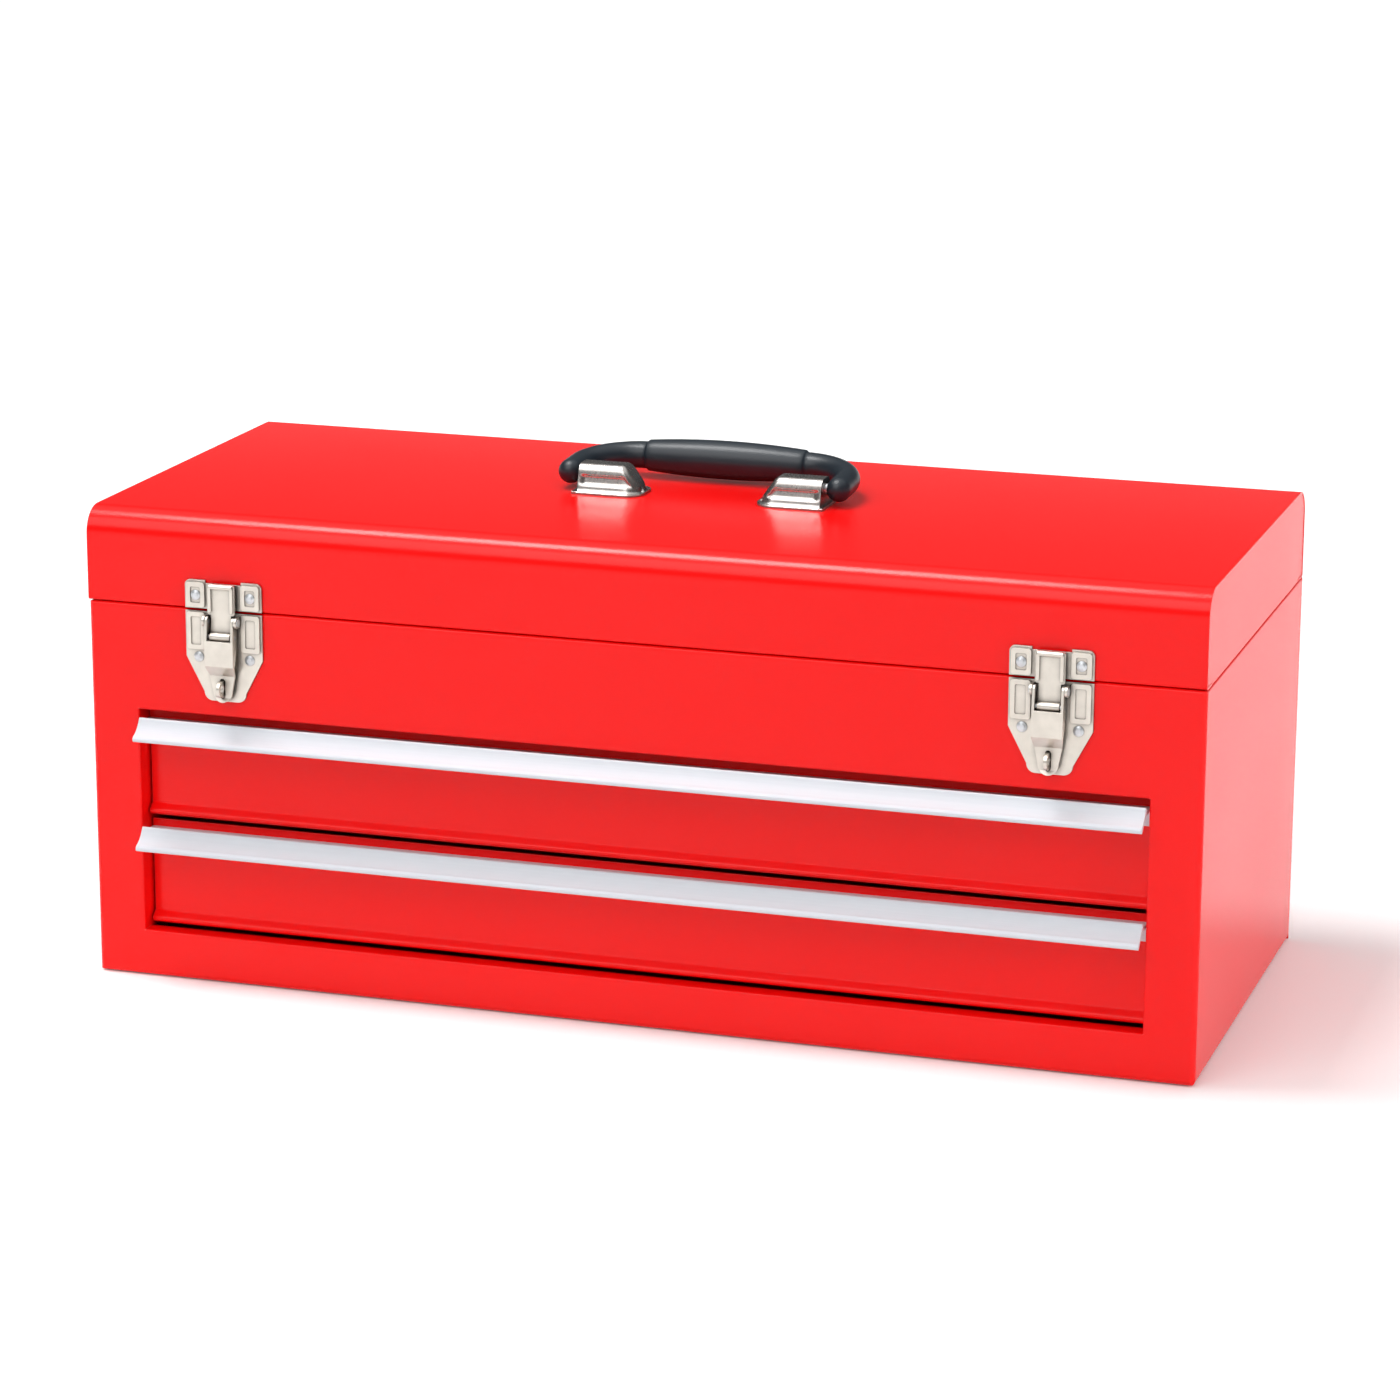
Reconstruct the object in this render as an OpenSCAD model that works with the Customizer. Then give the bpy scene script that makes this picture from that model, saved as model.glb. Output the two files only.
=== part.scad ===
// Portable two-drawer steel tool box with a hinged lid, draw latches and a folding handle.
// Millimetres. X runs along the width, Y from front to back, Z up.
// The origin is on the underside, in the middle of the box.

/* [Box] */
// Width of the body and the lid
box_w = 508; // [440:1:620]
// Depth from the front plane to the back plane
box_d = 218; // [212:1:280]
// Height from the underside to the top of the lid
box_h = 216; // [211:1:250]
// Height of the lid above the seam
lid_h = 42; // [36:1:46]
// Thickness of the painted sheet steel
sheet = 1; // [0.8:0.1:1.2]
// Outer radius of the long rounded edges of the lid
lid_edge_r = 12; // [6:0.5:15]
// Outer radius of the folded corners of the body
fold_r = 2.5; // [2:0.1:4]
// Outer radius of the folded edges along the seam
seam_r = 1.4; // [1.3:0.1:1.6]
// Gap between the lid and the body
seam_gap = 0.5; // [0.3:0.05:0.8]
// Width of the flanges folded in along the free edges
hem_w = 10; // [8:1:14]

/* [Drawer opening] */
// Width of the front on each side of the opening
stile_w = 23; // [18:1:30]
// Height of the front below the opening
sill_h = 21.5; // [16:0.5:24]
// Depth of the flanges folded in beside the opening
stile_flange = 20; // [14:1:24]
// Depth of the flanges folded in above and below the opening
sill_flange = 8; // [6:1:10]
// Height of the till floor above the opening
till_lift = 2.6; // [2.4:0.1:3.4]
// Height of the edges folded up round the till floor
till_edge = 8; // [6:1:12]

/* [Drawers] */
// Height between two drawer fronts, which the pull's top edge stands in
drawer_reveal = 2.7; // [2.4:0.1:3.5]
// Gap below each drawer front
drawer_gap = 2; // [1.5:0.1:3]
// Gap between the drawer fronts and the sides of the opening
side_gap = 1; // [0.6:0.1:2]
// How far the drawer fronts sit behind the front plane
front_recess = 10; // [8:0.5:12]
// How far the bottom lip of a drawer front flares out
lip_out = 5; // [3:0.5:6]
// Height of the flared lip
lip_h = 4.8; // [4:0.2:7]
// Width of the foot folded back under a drawer front
foot_w = 11; // [8:1:14]
// Depth of a drawer tray
tray_d = 190; // [182:1:192]
// How far the tray sides stop below the top of the drawer front
tray_drop = 10.3; // [6:0.1:16]
// Width of the safe edge folded over along the tray rim
rim_w = 3; // [2:0.5:5]

/* [Slides] */
// Space for the slide between the opening and the tray
slide_w = 9; // [8:0.5:12]
// Height inside the fixed runner
runner_h = 18; // [14:1:22]
// Height of the runner's middle above the drawer's underside
runner_up = 18; // [16:0.5:20]
// Width of the fixed runner's lips
runner_lip = 6; // [5:0.5:6.5]
// Clearance between a drawer rail and its runner
slide_gap = 0.35; // [0.3:0.05:0.5]
// Distance that a drawer travels to its stop
travel = 150; // [120:1:155]
// Length of the stop lug on a drawer rail
lug_len = 8; // [5:1:12]

/* [Drawer pulls] */
// How far the top edge of a pull stands in front of the box
pull_top_out = 1.5; // [1:0.1:4]
// How far the bottom edge of a pull stands in front of the box
pull_low_out = 9.3; // [8:0.1:11]
// Height of the pull's slanted face
pull_h = 7.8; // [7:0.1:9]
// Depth of the pull's web below its top edge
pull_web_down = 2.7; // [2.4:0.1:3.2]
// Thickness of the pull's wall
pull_wall = 1.4; // [1.2:0.1:1.8]
// Depth of the hollow along the pull's face
pull_hollow = 0.7; // [0.4:0.1:0.9]
// Length of the leg that lies on the drawer front
pull_leg = 8.5; // [8:0.1:9.5]
// Places of the pull's screws, as a share of its half length
screw_spread = [-0.82, -0.3, 0.3, 0.82];

/* [Back hinge] */
// Distance from the ends of the box to the hinge
hinge_inset = 32; // [26:1:60]
// Height of each hinge leaf
leaf_h = 17; // [14:1:22]
// Thickness of the hinge leaves
leaf_t = 1; // [0.8:0.1:1.2]
// Outer radius of the knuckles
knuckle_r = 2.6; // [2.4:0.1:3]
// Radius of the hinge pin
hinge_pin_r = 1.3; // [1:0.1:1.5]
// Number of knuckles, an odd number
knuckles = 15; // [9:2:21]
// Number of rivets in each leaf
hinge_rivets = 7; // [5:1:9]
// Length of the lid leaf's stop ears
ear_len = 12; // [8:1:16]
// Reach of the stop ears behind the hinge pin
ear_reach = 9; // [8.5:0.5:11]

/* [Latches] */
// Distance from the side of the box to the middle of a latch
latch_inset = 66; // [44:1:110]
// Width of the latch plates
latch_w = 36.6; // [34:0.2:42]
// Height of the base plate below the seam
base_h = 41.3; // [41:0.1:43]
// Height of the front between a latch and the drawer opening
latch_clear = 7.4; // [4:0.1:20]
// Height of the strike plate above the seam
strike_h = 13.5; // [12:0.5:16]
// Thickness of the latch plates
plate_t = 1.2; // [1:0.1:1.4]
// Height of the pressed pads on the latch plates
pad_t = 1.1; // [0.8:0.1:1.4]
// Half width of the channel between the pads
channel_x = 8.6; // [8.5:0.1:9.5]
// Length of the straight sides of the base plate
shoulder_h = 21.5; // [20:0.5:24]
// Width of the rounded toe of the base plate
toe_w = 20; // [16:0.5:24]
// Distance of the lever pivot in front of the box
pivot_out = 4.8; // [4.6:0.1:5.2]
// Depth of the lever pivot below the seam
pivot_down = 4; // [3.8:0.1:4.4]
// Distance from the lever pivot to the claw pin
throw = 7; // [6.8:0.1:7.4]
// Width of the lever
lever_w = 13.6; // [13.2:0.1:13.8]
// Thickness of the lever and the claw
lever_t = 1.1; // [1:0.1:1.2]
// Width of the lever's rounded end
lever_end_w = 9; // [8:0.5:11]
// Width of the claw beside the lever pivot
claw_neck_w = 9.6; // [8:0.2:9.8]
// Width of the claw above the seam
claw_w = 13; // [12:0.2:14]
// Radius of the latch pivots
latch_pin_r = 1; // [0.8:0.1:1.1]
// Thickness of the padlock staple
staple_t = 1.6; // [1.2:0.1:2]
// Radius of the padlock hole
staple_hole_r = 2; // [1.6:0.1:2.1]
// Width of metal round the padlock hole
staple_rim = 1.5; // [1.2:0.1:1.6]

/* [Rivets and screws] */
// Radius of the rivet heads
rivet_head_r = 2.3; // [2:0.1:2.6]
// Radius of the rivet shanks
rivet_r = 1.2; // [1:0.1:1.4]
// Height of the rivet heads
rivet_head_h = 0.9; // [0.7:0.1:1.2]
// Radius of the screw heads
screw_head_r = 3; // [2.6:0.1:3.2]
// Radius of the screw threads
screw_r = 1.5; // [1.2:0.1:1.8]

/* [Handle] */
// Distance from the middle of the box to the outer side of a bracket
bracket_x = 57.2; // [50:0.2:70]
// Length of a bracket along the box
bracket_len = 28.6; // [26:0.2:34]
// Height of a bracket
bracket_h = 13; // [12.8:0.1:14]
// Depth of a bracket where it meets its foot
bracket_d = 19; // [18.6:0.2:22]
// Thickness of the bracket's metal
bracket_t = 1.2; // [1:0.1:1.4]
// Width of the foot at the ends of the bracket
bracket_foot = 2; // [1.5:0.1:2.4]
// Height of the handle pivot above the lid
handle_up = 8; // [7.9:0.1:8.4]
// Height that the folded grip stands above the pivot
handle_rise = 2; // [1.8:0.1:3]
// Distance from the pivot to the middle of the grip
handle_bow = 36; // [34:0.5:46]
// Radius of the handle's arms
arm_r = 5.6; // [5:0.1:6.4]
// Radius of the grip at its ends
grip_end_r = 7.2; // [6.8:0.1:7.8]
// Radius of the grip at its middle
grip_r = 8.9; // [8.4:0.1:9.3]
// Bend radius of the handle's elbows
elbow_r = 25; // [20:0.5:26]
// Radius of the handle's pivot pins
handle_pin_r = 2.5; // [2:0.1:2.8]

/* [Hidden] */
$fn = 64;
drawer_count = 2;
// Fits and clearances
pin_gap = 0.05;
seat_gap = 0.05;
part_gap = 0.3;
e = 0.01;

// Levels and planes of the box
front_y = -box_d / 2;
back_y = box_d / 2;
side_x = box_w / 2;
seam_z = box_h - lid_h;
body_top = seam_z - seam_gap / 2;
lid_z = seam_z + seam_gap / 2;

// Opening for the drawers
open_x = side_x - stile_w;
open_z = sill_h;
open_top = seam_z - base_h - latch_clear;
open_h = open_top - open_z;
till_z = open_top + till_lift;

// Drawers
// The gap over the upper front is smaller than the one between two fronts
top_trim = 0.2;
drawer_pitch = (open_h - drawer_gap + top_trim) / drawer_count;
front_h = drawer_pitch - drawer_reveal;
tray_h = front_h - tray_drop;
function drawer_z(i) = open_z + drawer_gap + i * drawer_pitch;
drawer_x = open_x - side_gap;
tray_x = open_x - slide_w;
tray_y = front_y + front_recess + sheet;
rail_h = runner_h - 2 * slide_gap;
rail_len = tray_d - 6;
// The lug meets the rear edge of the stile's flange at the end of the travel
lug_y = front_y + stile_flange + travel + part_gap;

// Pull profile, from the front plane inwards and from the drawer's underside up
pull_top = front_h - 0.7;
pull_low = pull_top - pull_h;
pull_web_z = pull_top - pull_web_down;
pull_screw_z = pull_web_z - pull_leg + 3.5;

// Hinge
hinge_y = back_y + knuckle_r + part_gap;
hinge_len = box_w - 2 * hinge_inset;
knuckle_len = hinge_len / knuckles;
knuckle_gap = 0.3;
leaf_clear = knuckle_r + 0.5;
hinge_rivet_z = leaf_h - 5.5;
// Lowest point of the ears that still lets the lid open to its stop
ear_low = -0.9;

// Latch, measured out from the front plane and up from the seam
latch_x = side_x - latch_inset;
pivot_z = -pivot_down;
claw_pin_z = pivot_z - throw;
lever_arm_r = 2.2;
lever_face = pivot_out + 1.8;
lever_top = claw_pin_z - 1.5;
lever_foot = plate_t + 1.8;
lever_end = -base_h + 0.4;
claw_back = pivot_out - 1.9;
claw_top = strike_h - 0.9;
claw_shoulder = pivot_z + lever_arm_r + 0.6;
staple_z = lever_end + 6.4;
staple_out = lever_foot + lever_t + staple_hole_r + 0.3;
pad_x = latch_w / 2 - 0.9;
strike_rivet_z = strike_h / 2;
base_rivet_x = latch_w / 3;

// Handle
bracket_inner = bracket_x - bracket_len;
arm_x = bracket_x + 0.5 + arm_r;
// How far the pivot pins reach past the middle of the arms
pin_depth = 2;
pivot_height = box_h + handle_up;
crown_r = bracket_d / 4;
tab_w = 8;
tab_x = bracket_inner + bracket_len / 2;
tab_y = bracket_d / 2 + bracket_t;
tab_len = 6;
foot_y = tab_y + bracket_t;

paint = [0.90, 0.08, 0.07];
paint_dark = [0.72, 0.05, 0.05];
nickel = [0.80, 0.79, 0.75];
steel = [0.62, 0.64, 0.66];
alloy = [0.86, 0.89, 0.92];
black = [0.10, 0.11, 0.12];

// ---------- Helpers ----------

// Extrudes a Y-Z outline along X, centred on the middle of the box
module along_x(len) {
  rotate([90, 0, 90])
    linear_extrude(len, center = true) children();
}

// Extrudes an X-Z outline forwards, from a distance in front of y = 0
module forwards(t, out = 0) {
  translate([0, -out, 0])
    rotate([90, 0, 0])
      linear_extrude(t) children();
}

// The waste outside a rounded corner: its tip is at the origin, its metal lies towards (sx, sy)
module corner_waste(r, sx, sy) {
  difference() {
    translate([sx * (r - 1) / 2, sy * (r - 1) / 2])
      square(r + 1, center = true);
    translate([sx * r, sy * r])
      circle(r);
  }
}

module round_rect(w, h, r) {
  square([w, h - 2 * r], center = true);
  square([w - 2 * r, h], center = true);
  for (x = [-1, 1], y = [-1, 1])
    translate([x * (w / 2 - r), y * (h / 2 - r)])
      circle(r);
}

// An upright slot outline with round ends, from z0 to z1
module upright_slot(w, z0, z1) {
  translate([-w / 2, z0 + w / 2])
    square([w, z1 - z0 - w]);
  for (z = [z0 + w / 2, z1 - w / 2])
    translate([0, z])
      circle(w / 2);
}

// A point where a line from p touches the circle at c
function tangent(p, c, r) =
  let (v = p - c, d2 = v * v)
  c + v * r * r / d2 + [-v[1], v[0]] * r * sqrt(d2 - r * r) / d2;

// A round-headed rivet: its head stands on y = 0 and points forwards, its shank runs back
module rivet(grip) {
  cap_r = (rivet_head_r * rivet_head_r + rivet_head_h * rivet_head_h) / (2 * rivet_head_h);
  rotate([90, 0, 0]) {
    intersection() {
      translate([0, 0, rivet_head_h - cap_r])
        sphere(cap_r);
      cylinder(r = rivet_head_r, h = 2 * rivet_head_h);
    }
    translate([0, 0, -grip - e])
      cylinder(r = rivet_r, h = grip + 2 * e);
    translate([0, 0, -grip - rivet_head_h])
      cylinder(r = rivet_head_r * 0.85, h = rivet_head_h);
  }
}

module rivet_hole(grip) {
  rotate([90, 0, 0])
    translate([0, 0, -grip - 1])
      cylinder(r = rivet_r + seat_gap, h = 2 * grip + 2);
}

// Repeats its children at every rivet of a hinge leaf, in X
module at_hinge_rivets() {
  step = (hinge_len - 2 * knuckle_len) / (hinge_rivets - 1);
  for (i = [0 : hinge_rivets - 1])
    translate([-hinge_len / 2 + knuckle_len + i * step, 0, 0]) children();
}

module at_latches() {
  for (s = [-1, 1])
    translate([s * latch_x, front_y, seam_z]) children();
}

module at_latch(s) {
  translate([s * latch_x, front_y, seam_z]) children();
}

module at_base_rivets() {
  for (s = [-1, 1])
    translate([s * base_rivet_x, 0, -shoulder_h]) children();
}

module at_strike_rivets() {
  for (s = [-1, 1])
    translate([s * (channel_x + pad_x) / 2, 0, strike_rivet_z]) children();
}

// ---------- Body ----------

// Solid block of the body with folded corners, drawn in by a distance
module body_block(inset, z0, z1) {
  r = fold_r - inset;
  top_r = seam_r;
  intersection() {
    translate([0, 0, z0])
      linear_extrude(z1 - z0)
        difference() {
          translate([-side_x + inset, front_y + inset])
            square([box_w - 2 * inset, box_d - inset - sheet]);
          for (s = [-1, 1])
            translate([s * (side_x - inset), front_y + inset])
              corner_waste(r, -s, 1);
        }
    along_x(box_w + 2)
      difference() {
        translate([front_y - 1, z0])
          square([box_d + 2, z1 - z0]);
        translate([front_y + inset, z0])
          corner_waste(r, 1, 1);
        if (inset == 0)
          translate([front_y, z1])
            corner_waste(top_r, 1, -1);
      }
    translate([0, back_y, 0])
      forwards(box_d + 1)
        difference() {
          translate([-side_x, z0])
            square([box_w, z1 - z0]);
          for (s = [-1, 1]) {
            translate([s * (side_x - inset), z0])
              corner_waste(r, -s, 1);
            if (inset == 0)
              translate([s * side_x, z1])
                corner_waste(top_r, -s, -1);
          }
        }
  }
}

// Front and sides in one folded sheet, with the drawer opening cut in its front
module body_shell() {
  color(paint)
    difference() {
      union() {
        difference() {
          body_block(0, 0, body_top);
          body_block(sheet, sheet, body_top - sheet);
          // Hollow through the flanges at the top and the bottom
          translate([0, hem_w / 2, 0])
            cube([box_w - 2 * hem_w, box_d - hem_w, 3 * box_h], center = true);
          translate([-open_x, front_y - 1, open_z])
            cube([2 * open_x, hem_w, open_h]);
        }
        opening_flanges();
      }
      opening_folds();
      at_latches() at_base_rivets() rivet_hole(plate_t + sheet);
    }
}

// Waste outside the rounded folds round the drawer opening
module opening_folds() {
  r = sheet - e;
  for (s = [-1, 1])
    translate([s * open_x, front_y, open_z])
      linear_extrude(open_h)
        corner_waste(r, s, 1);
  along_x(2 * open_x) {
    translate([front_y, open_z])
      corner_waste(r, 1, -1);
    translate([front_y, open_top])
      corner_waste(r, 1, 1);
  }
}

// Flanges folded in round the drawer opening, and the back edges of the sides
module opening_flanges() {
  for (s = [-1, 1]) {
    translate([s * (open_x + sheet / 2), front_y + stile_flange / 2 + e, open_z + open_h / 2])
      cube([sheet, stile_flange - 2 * e, open_h + 2 * sheet], center = true);
    translate([s * (side_x - hem_w / 2 - e), back_y - 1.5 * sheet, seam_z / 2])
      cube([hem_w - 2 * e, sheet, seam_z - 4 * fold_r], center = true);
  }
  for (z = [open_z - sheet / 2, open_top + sheet / 2])
    translate([0, front_y + sill_flange / 2 + e, z])
      cube([2 * open_x + 2 * sheet, sill_flange - 2 * e, sheet], center = true);
}

module back_panel() {
  color(paint)
    difference() {
      union() {
        translate([-side_x, back_y - sheet, 0])
          cube([box_w, sheet, body_top]);
        // Stiffening flange along the top, between the flanges of the sides
        translate([-side_x + hem_w + part_gap, back_y - hem_w, body_top - sheet])
          cube([box_w - 2 * hem_w - 2 * part_gap, hem_w, sheet]);
      }
      translate([0, back_y + leaf_t, seam_z - hinge_rivet_z])
        at_hinge_rivets() mirror([0, 1, 0]) rivet_hole(leaf_t + sheet);
    }
}

// Pressed pan: its middle is flush with the flanges of the sides, its edge lies on them
module bottom_panel() {
  pan_w = box_w - 2 * hem_w - 2 * part_gap;
  pan_d = box_d - hem_w - sheet - 2 * part_gap;
  rim = hem_w / 2;
  color(paint_dark)
    translate([0, (hem_w - sheet) / 2, 0]) {
      translate([-pan_w / 2, -pan_d / 2, 0])
        cube([pan_w, pan_d, sheet]);
      difference() {
        translate([-pan_w / 2 - rim, -pan_d / 2 - rim, sheet])
          cube([pan_w + 2 * rim, pan_d + rim, sheet]);
        translate([-pan_w / 2 + sheet, -pan_d / 2 + sheet, 0])
          cube([pan_w - 2 * sheet, pan_d - 2 * sheet, 3 * sheet]);
      }
    }
}

// Floor of the open compartment under the lid, with its edges folded up
module till_floor() {
  color(paint_dark)
    difference() {
      till_block(sheet, till_z, till_z + till_edge);
      till_block(2 * sheet, till_z + sheet, till_z + till_edge + 1);
    }
}

module till_block(inset, z0, z1) {
  translate([0, 0, z0])
    linear_extrude(z1 - z0)
      difference() {
        translate([-side_x + inset, front_y + inset])
          square([box_w - 2 * inset, box_d - 2 * inset - sheet]);
        for (s = [-1, 1])
          translate([s * (side_x - inset), front_y + inset])
            corner_waste(fold_r - sheet, -s, 1);
      }
}

// Fixed channel that a drawer rail runs in: side is -1 on the left and 1 on the right
module runner(side, level) {
  z = drawer_z(level) + runner_up;
  web_x = open_x + sheet;
  back = back_y - sheet;
  lip_y = front_y + stile_flange + part_gap;
  lip_x = web_x - runner_lip;
  color(steel)
    mirror([side < 0 ? 1 : 0, 0, 0]) {
      translate([web_x, front_y + 2 * sheet, z - runner_h / 2 - sheet])
        cube([sheet, box_d - 3 * sheet, runner_h + 2 * sheet]);
      for (dz = [-runner_h / 2 - sheet, runner_h / 2])
        translate([lip_x, lip_y, z + dz])
          cube([runner_lip + e, back - lip_y, sheet]);
      translate([web_x, back - sheet, z - runner_h / 2 - sheet])
        cube([hem_w, sheet, runner_h + 2 * sheet]);
    }
}

// ---------- Lid ----------

// Cross-section of the lid, drawn in by a distance and reaching down to z0
module lid_outline(inset, z0) {
  r = lid_edge_r - inset;
  difference() {
    translate([front_y + inset, z0])
      square([box_d - 2 * inset, box_h - inset - z0]);
    for (s = [-1, 1])
      translate([s * (box_d / 2 - inset), box_h - inset])
        corner_waste(r, -s, -1);
  }
}

// Top, front and back of the lid in one folded sheet
module lid_wrap() {
  hem_len = box_w - 2 * hem_w - 4 * sheet;
  color(paint)
    difference() {
      union() {
        along_x(box_w)
          difference() {
            lid_outline(0, lid_z);
            lid_outline(sheet, lid_z - 1);
            translate([front_y, lid_z])
              corner_waste(seam_r - sheet, 1, 1);
          }
        for (s = [-1, 1])
          translate([0, s * (box_d / 2 - hem_w / 2 - e), lid_z + sheet / 2])
            cube([hem_len, hem_w - 2 * e, sheet], center = true);
      }
      at_latches() at_strike_rivets() rivet_hole(plate_t + pad_t + sheet);
      translate([0, back_y + leaf_t, seam_z + hinge_rivet_z])
        at_hinge_rivets() mirror([0, 1, 0]) rivet_hole(leaf_t + sheet);
      for (s = [-1, 1], t = [-1, 1])
        translate([s * tab_x, t * tab_y, box_h])
          cube([tab_w + 2 * seat_gap, bracket_t + 2 * seat_gap, 3 * sheet], center = true);
    }
}

// End plate of the lid, with its edges folded in under the wrap
module lid_end(side) {
  fold = sheet + seat_gap;
  inset_x = 0.2;
  color(paint)
    mirror([side < 0 ? 1 : 0, 0, 0])
      translate([side_x - inset_x, 0, 0]) {
        translate([-sheet / 2, 0, 0])
          along_x(sheet)
            lid_outline(fold, lid_z);
        translate([-hem_w / 2, 0, 0])
          along_x(hem_w)
            difference() {
              lid_outline(fold, lid_z);
              lid_outline(fold + sheet, lid_z + sheet);
            }
      }
}

// ---------- Back hinge ----------

// Knuckles first, first + 2, ... of the hinge, as solid rods joined to their leaf
module knuckle_rods(first, up) {
  for (i = [first : 2 : knuckles - 1])
    translate([-hinge_len / 2 + i * knuckle_len + knuckle_gap / 2, 0, 0]) {
      rotate([0, 90, 0])
        cylinder(r = knuckle_r, h = knuckle_len - knuckle_gap);
      translate([0, -knuckle_r - part_gap, up > 0 ? 0 : -leaf_clear - e])
        cube([knuckle_len - knuckle_gap, leaf_t, leaf_clear + e]);
    }
}

module hinge_leaf(first, up) {
  difference() {
    translate([0, hinge_y, seam_z]) {
      knuckle_rods(first, up);
      translate([-hinge_len / 2, -knuckle_r - part_gap, up > 0 ? leaf_clear : -leaf_h])
        cube([hinge_len, leaf_t, leaf_h - leaf_clear]);
    }
    translate([0, hinge_y, seam_z])
      rotate([0, 90, 0])
        cylinder(r = hinge_pin_r + pin_gap, h = box_w, center = true);
    translate([0, back_y + leaf_t, seam_z + up * hinge_rivet_z])
      at_hinge_rivets() mirror([0, 1, 0]) rivet_hole(leaf_t + sheet);
  }
}

module hinge_body_leaf() {
  color(steel) hinge_leaf(0, -1);
}

module hinge_lid_leaf() {
  color(steel) {
    hinge_leaf(1, 1);
    for (s = [-1, 1])
      translate([s * (hinge_len / 2 + ear_len / 2), hinge_y, seam_z])
        stop_ear();
  }
}

// Hooked ear at each end of the lid leaf: its tip meets the back and stops the open lid
module stop_ear() {
  low = -knuckle_r - part_gap;
  along_x(ear_len + 2 * e)
    union() {
      translate([low, leaf_clear])
        square([leaf_t, leaf_h - leaf_clear]);
      translate([low, leaf_clear])
        square([ear_reach - low, leaf_t]);
      translate([ear_reach - leaf_t, ear_low])
        square([leaf_t, leaf_clear - ear_low + e]);
    }
}

module hinge_pin() {
  color(nickel)
    translate([0, hinge_y, seam_z])
      rotate([0, 90, 0])
        cylinder(r = hinge_pin_r, h = hinge_len, center = true);
}

module hinge_rivet_row(up) {
  color(nickel)
    translate([0, back_y + leaf_t, seam_z + up * hinge_rivet_z])
      at_hinge_rivets() mirror([0, 1, 0]) rivet(leaf_t + sheet);
}

// ---------- Latches ----------

module base_outline() {
  toe_r = 4;
  translate([-latch_w / 2, -shoulder_h])
    square([latch_w, shoulder_h - 0.6]);
  polygon([
    [-latch_w / 2, -shoulder_h], [latch_w / 2, -shoulder_h],
    [toe_w / 2, toe_r - base_h], [-toe_w / 2, toe_r - base_h]
  ]);
  translate([-toe_w / 2 + toe_r, -base_h])
    square([toe_w - 2 * toe_r, 2 * toe_r]);
  for (s = [-1, 1])
    translate([s * (toe_w / 2 - toe_r), toe_r - base_h])
      circle(toe_r);
}

// Two upright pads pressed out beside the middle channel, each with a sunken panel
module pads(z0, z1, panel) {
  for (s = [-1, 1])
    difference() {
      forwards(pad_t, plate_t - e)
        translate([s * (channel_x + pad_x) / 2, (z0 + z1) / 2])
          round_rect(pad_x - channel_x, z1 - z0, 1.2);
      forwards(pad_t, plate_t + pad_t / 2)
        translate([s * (channel_x + pad_x) / 2, (z0 + z1) / 2])
          round_rect(pad_x - channel_x - panel, z1 - z0 - panel, 0.8);
    }
}

module latch_base(side) {
  ear_x = lever_w / 2 + 0.2;
  color(nickel)
    at_latch(side)
      difference() {
        union() {
          forwards(plate_t)
            base_outline();
          pads(-shoulder_h + 3.5, -1, 4);
          // Ears that carry the lever
          for (s = [-1, 1])
            translate([s * (ear_x + plate_t / 2), 0, 0])
              along_x(plate_t)
                union() {
                  translate([-pivot_out, pivot_z])
                    circle(2.4);
                  translate([-pivot_out, pivot_z - 2.4])
                    square([pivot_out - plate_t + e, 4.8]);
                }
        }
        at_base_rivets() rivet_hole(plate_t + sheet);
        latch_bore();
        // Slot that the staple's foot is set in
        forwards(plate_t + 2, -1)
          translate([0, staple_z])
            square([staple_t + 2 * seat_gap, 2 * staple_hole_r + 2 * seat_gap], center = true);
      }
}

// Bore of the lever pivot across a latch
module latch_bore() {
  translate([0, -pivot_out, pivot_z])
    rotate([0, 90, 0])
      cylinder(r = latch_pin_r + pin_gap, h = latch_w, center = true);
}

// Upright ring that a padlock goes through, set in the base plate
module latch_staple(side) {
  ring_r = staple_hole_r + staple_rim;
  color(nickel)
    at_latch(side)
      difference() {
        along_x(staple_t)
          union() {
            translate([-staple_out, staple_z])
              circle(ring_r);
            translate([-staple_out, staple_z - ring_r])
              square([staple_out - plate_t, 2 * ring_r]);
            translate([-plate_t - e, staple_z - staple_hole_r])
              square([plate_t + e, 2 * staple_hole_r]);
          }
        translate([0, -staple_out, staple_z])
          rotate([0, 90, 0])
            cylinder(r = staple_hole_r, h = 2 * staple_t, center = true);
      }
}

// Short rivets that the levers turn on, in the ears of the base plates
module lever_pivots() {
  inner = lever_w / 2 - lever_t;
  outer = lever_w / 2 + 0.2 + plate_t;
  color(steel)
    at_latches()
      for (s = [-1, 1])
        translate([0, -pivot_out, pivot_z])
          rotate([0, s * 90, 0]) {
            translate([0, 0, inner])
              cylinder(r = latch_pin_r, h = outer - inner + e);
            translate([0, 0, outer])
              cylinder(r = latch_pin_r + 0.7, h = 0.4);
          }
}

// Keeper plate on the lid: side pads, and a low hump under the claw
module strike(side) {
  crown = 1.3;
  color(nickel)
    at_latch(side)
      difference() {
        union() {
          forwards(plate_t)
            difference() {
              translate([-latch_w / 2, 0.6])
                square([latch_w, strike_h - 0.6]);
              for (s = [-1, 1])
                translate([s * latch_w / 2, strike_h])
                  corner_waste(2.5, -s, -1);
              translate([-channel_x, strike_h - crown])
                square([2 * channel_x, crown + 1]);
            }
          pads(1.2, strike_h - 1, 4);
          forwards(plate_t, plate_t - e)
            translate([0, strike_h / 2])
              round_rect(claw_w - 3, strike_h - 5, 1);
        }
        at_strike_rivets() rivet_hole(plate_t + pad_t + sheet);
      }
}

module latch_base_rivets() {
  color(steel)
    at_latches() translate([0, -plate_t, 0]) at_base_rivets() rivet(plate_t + sheet);
}

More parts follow.
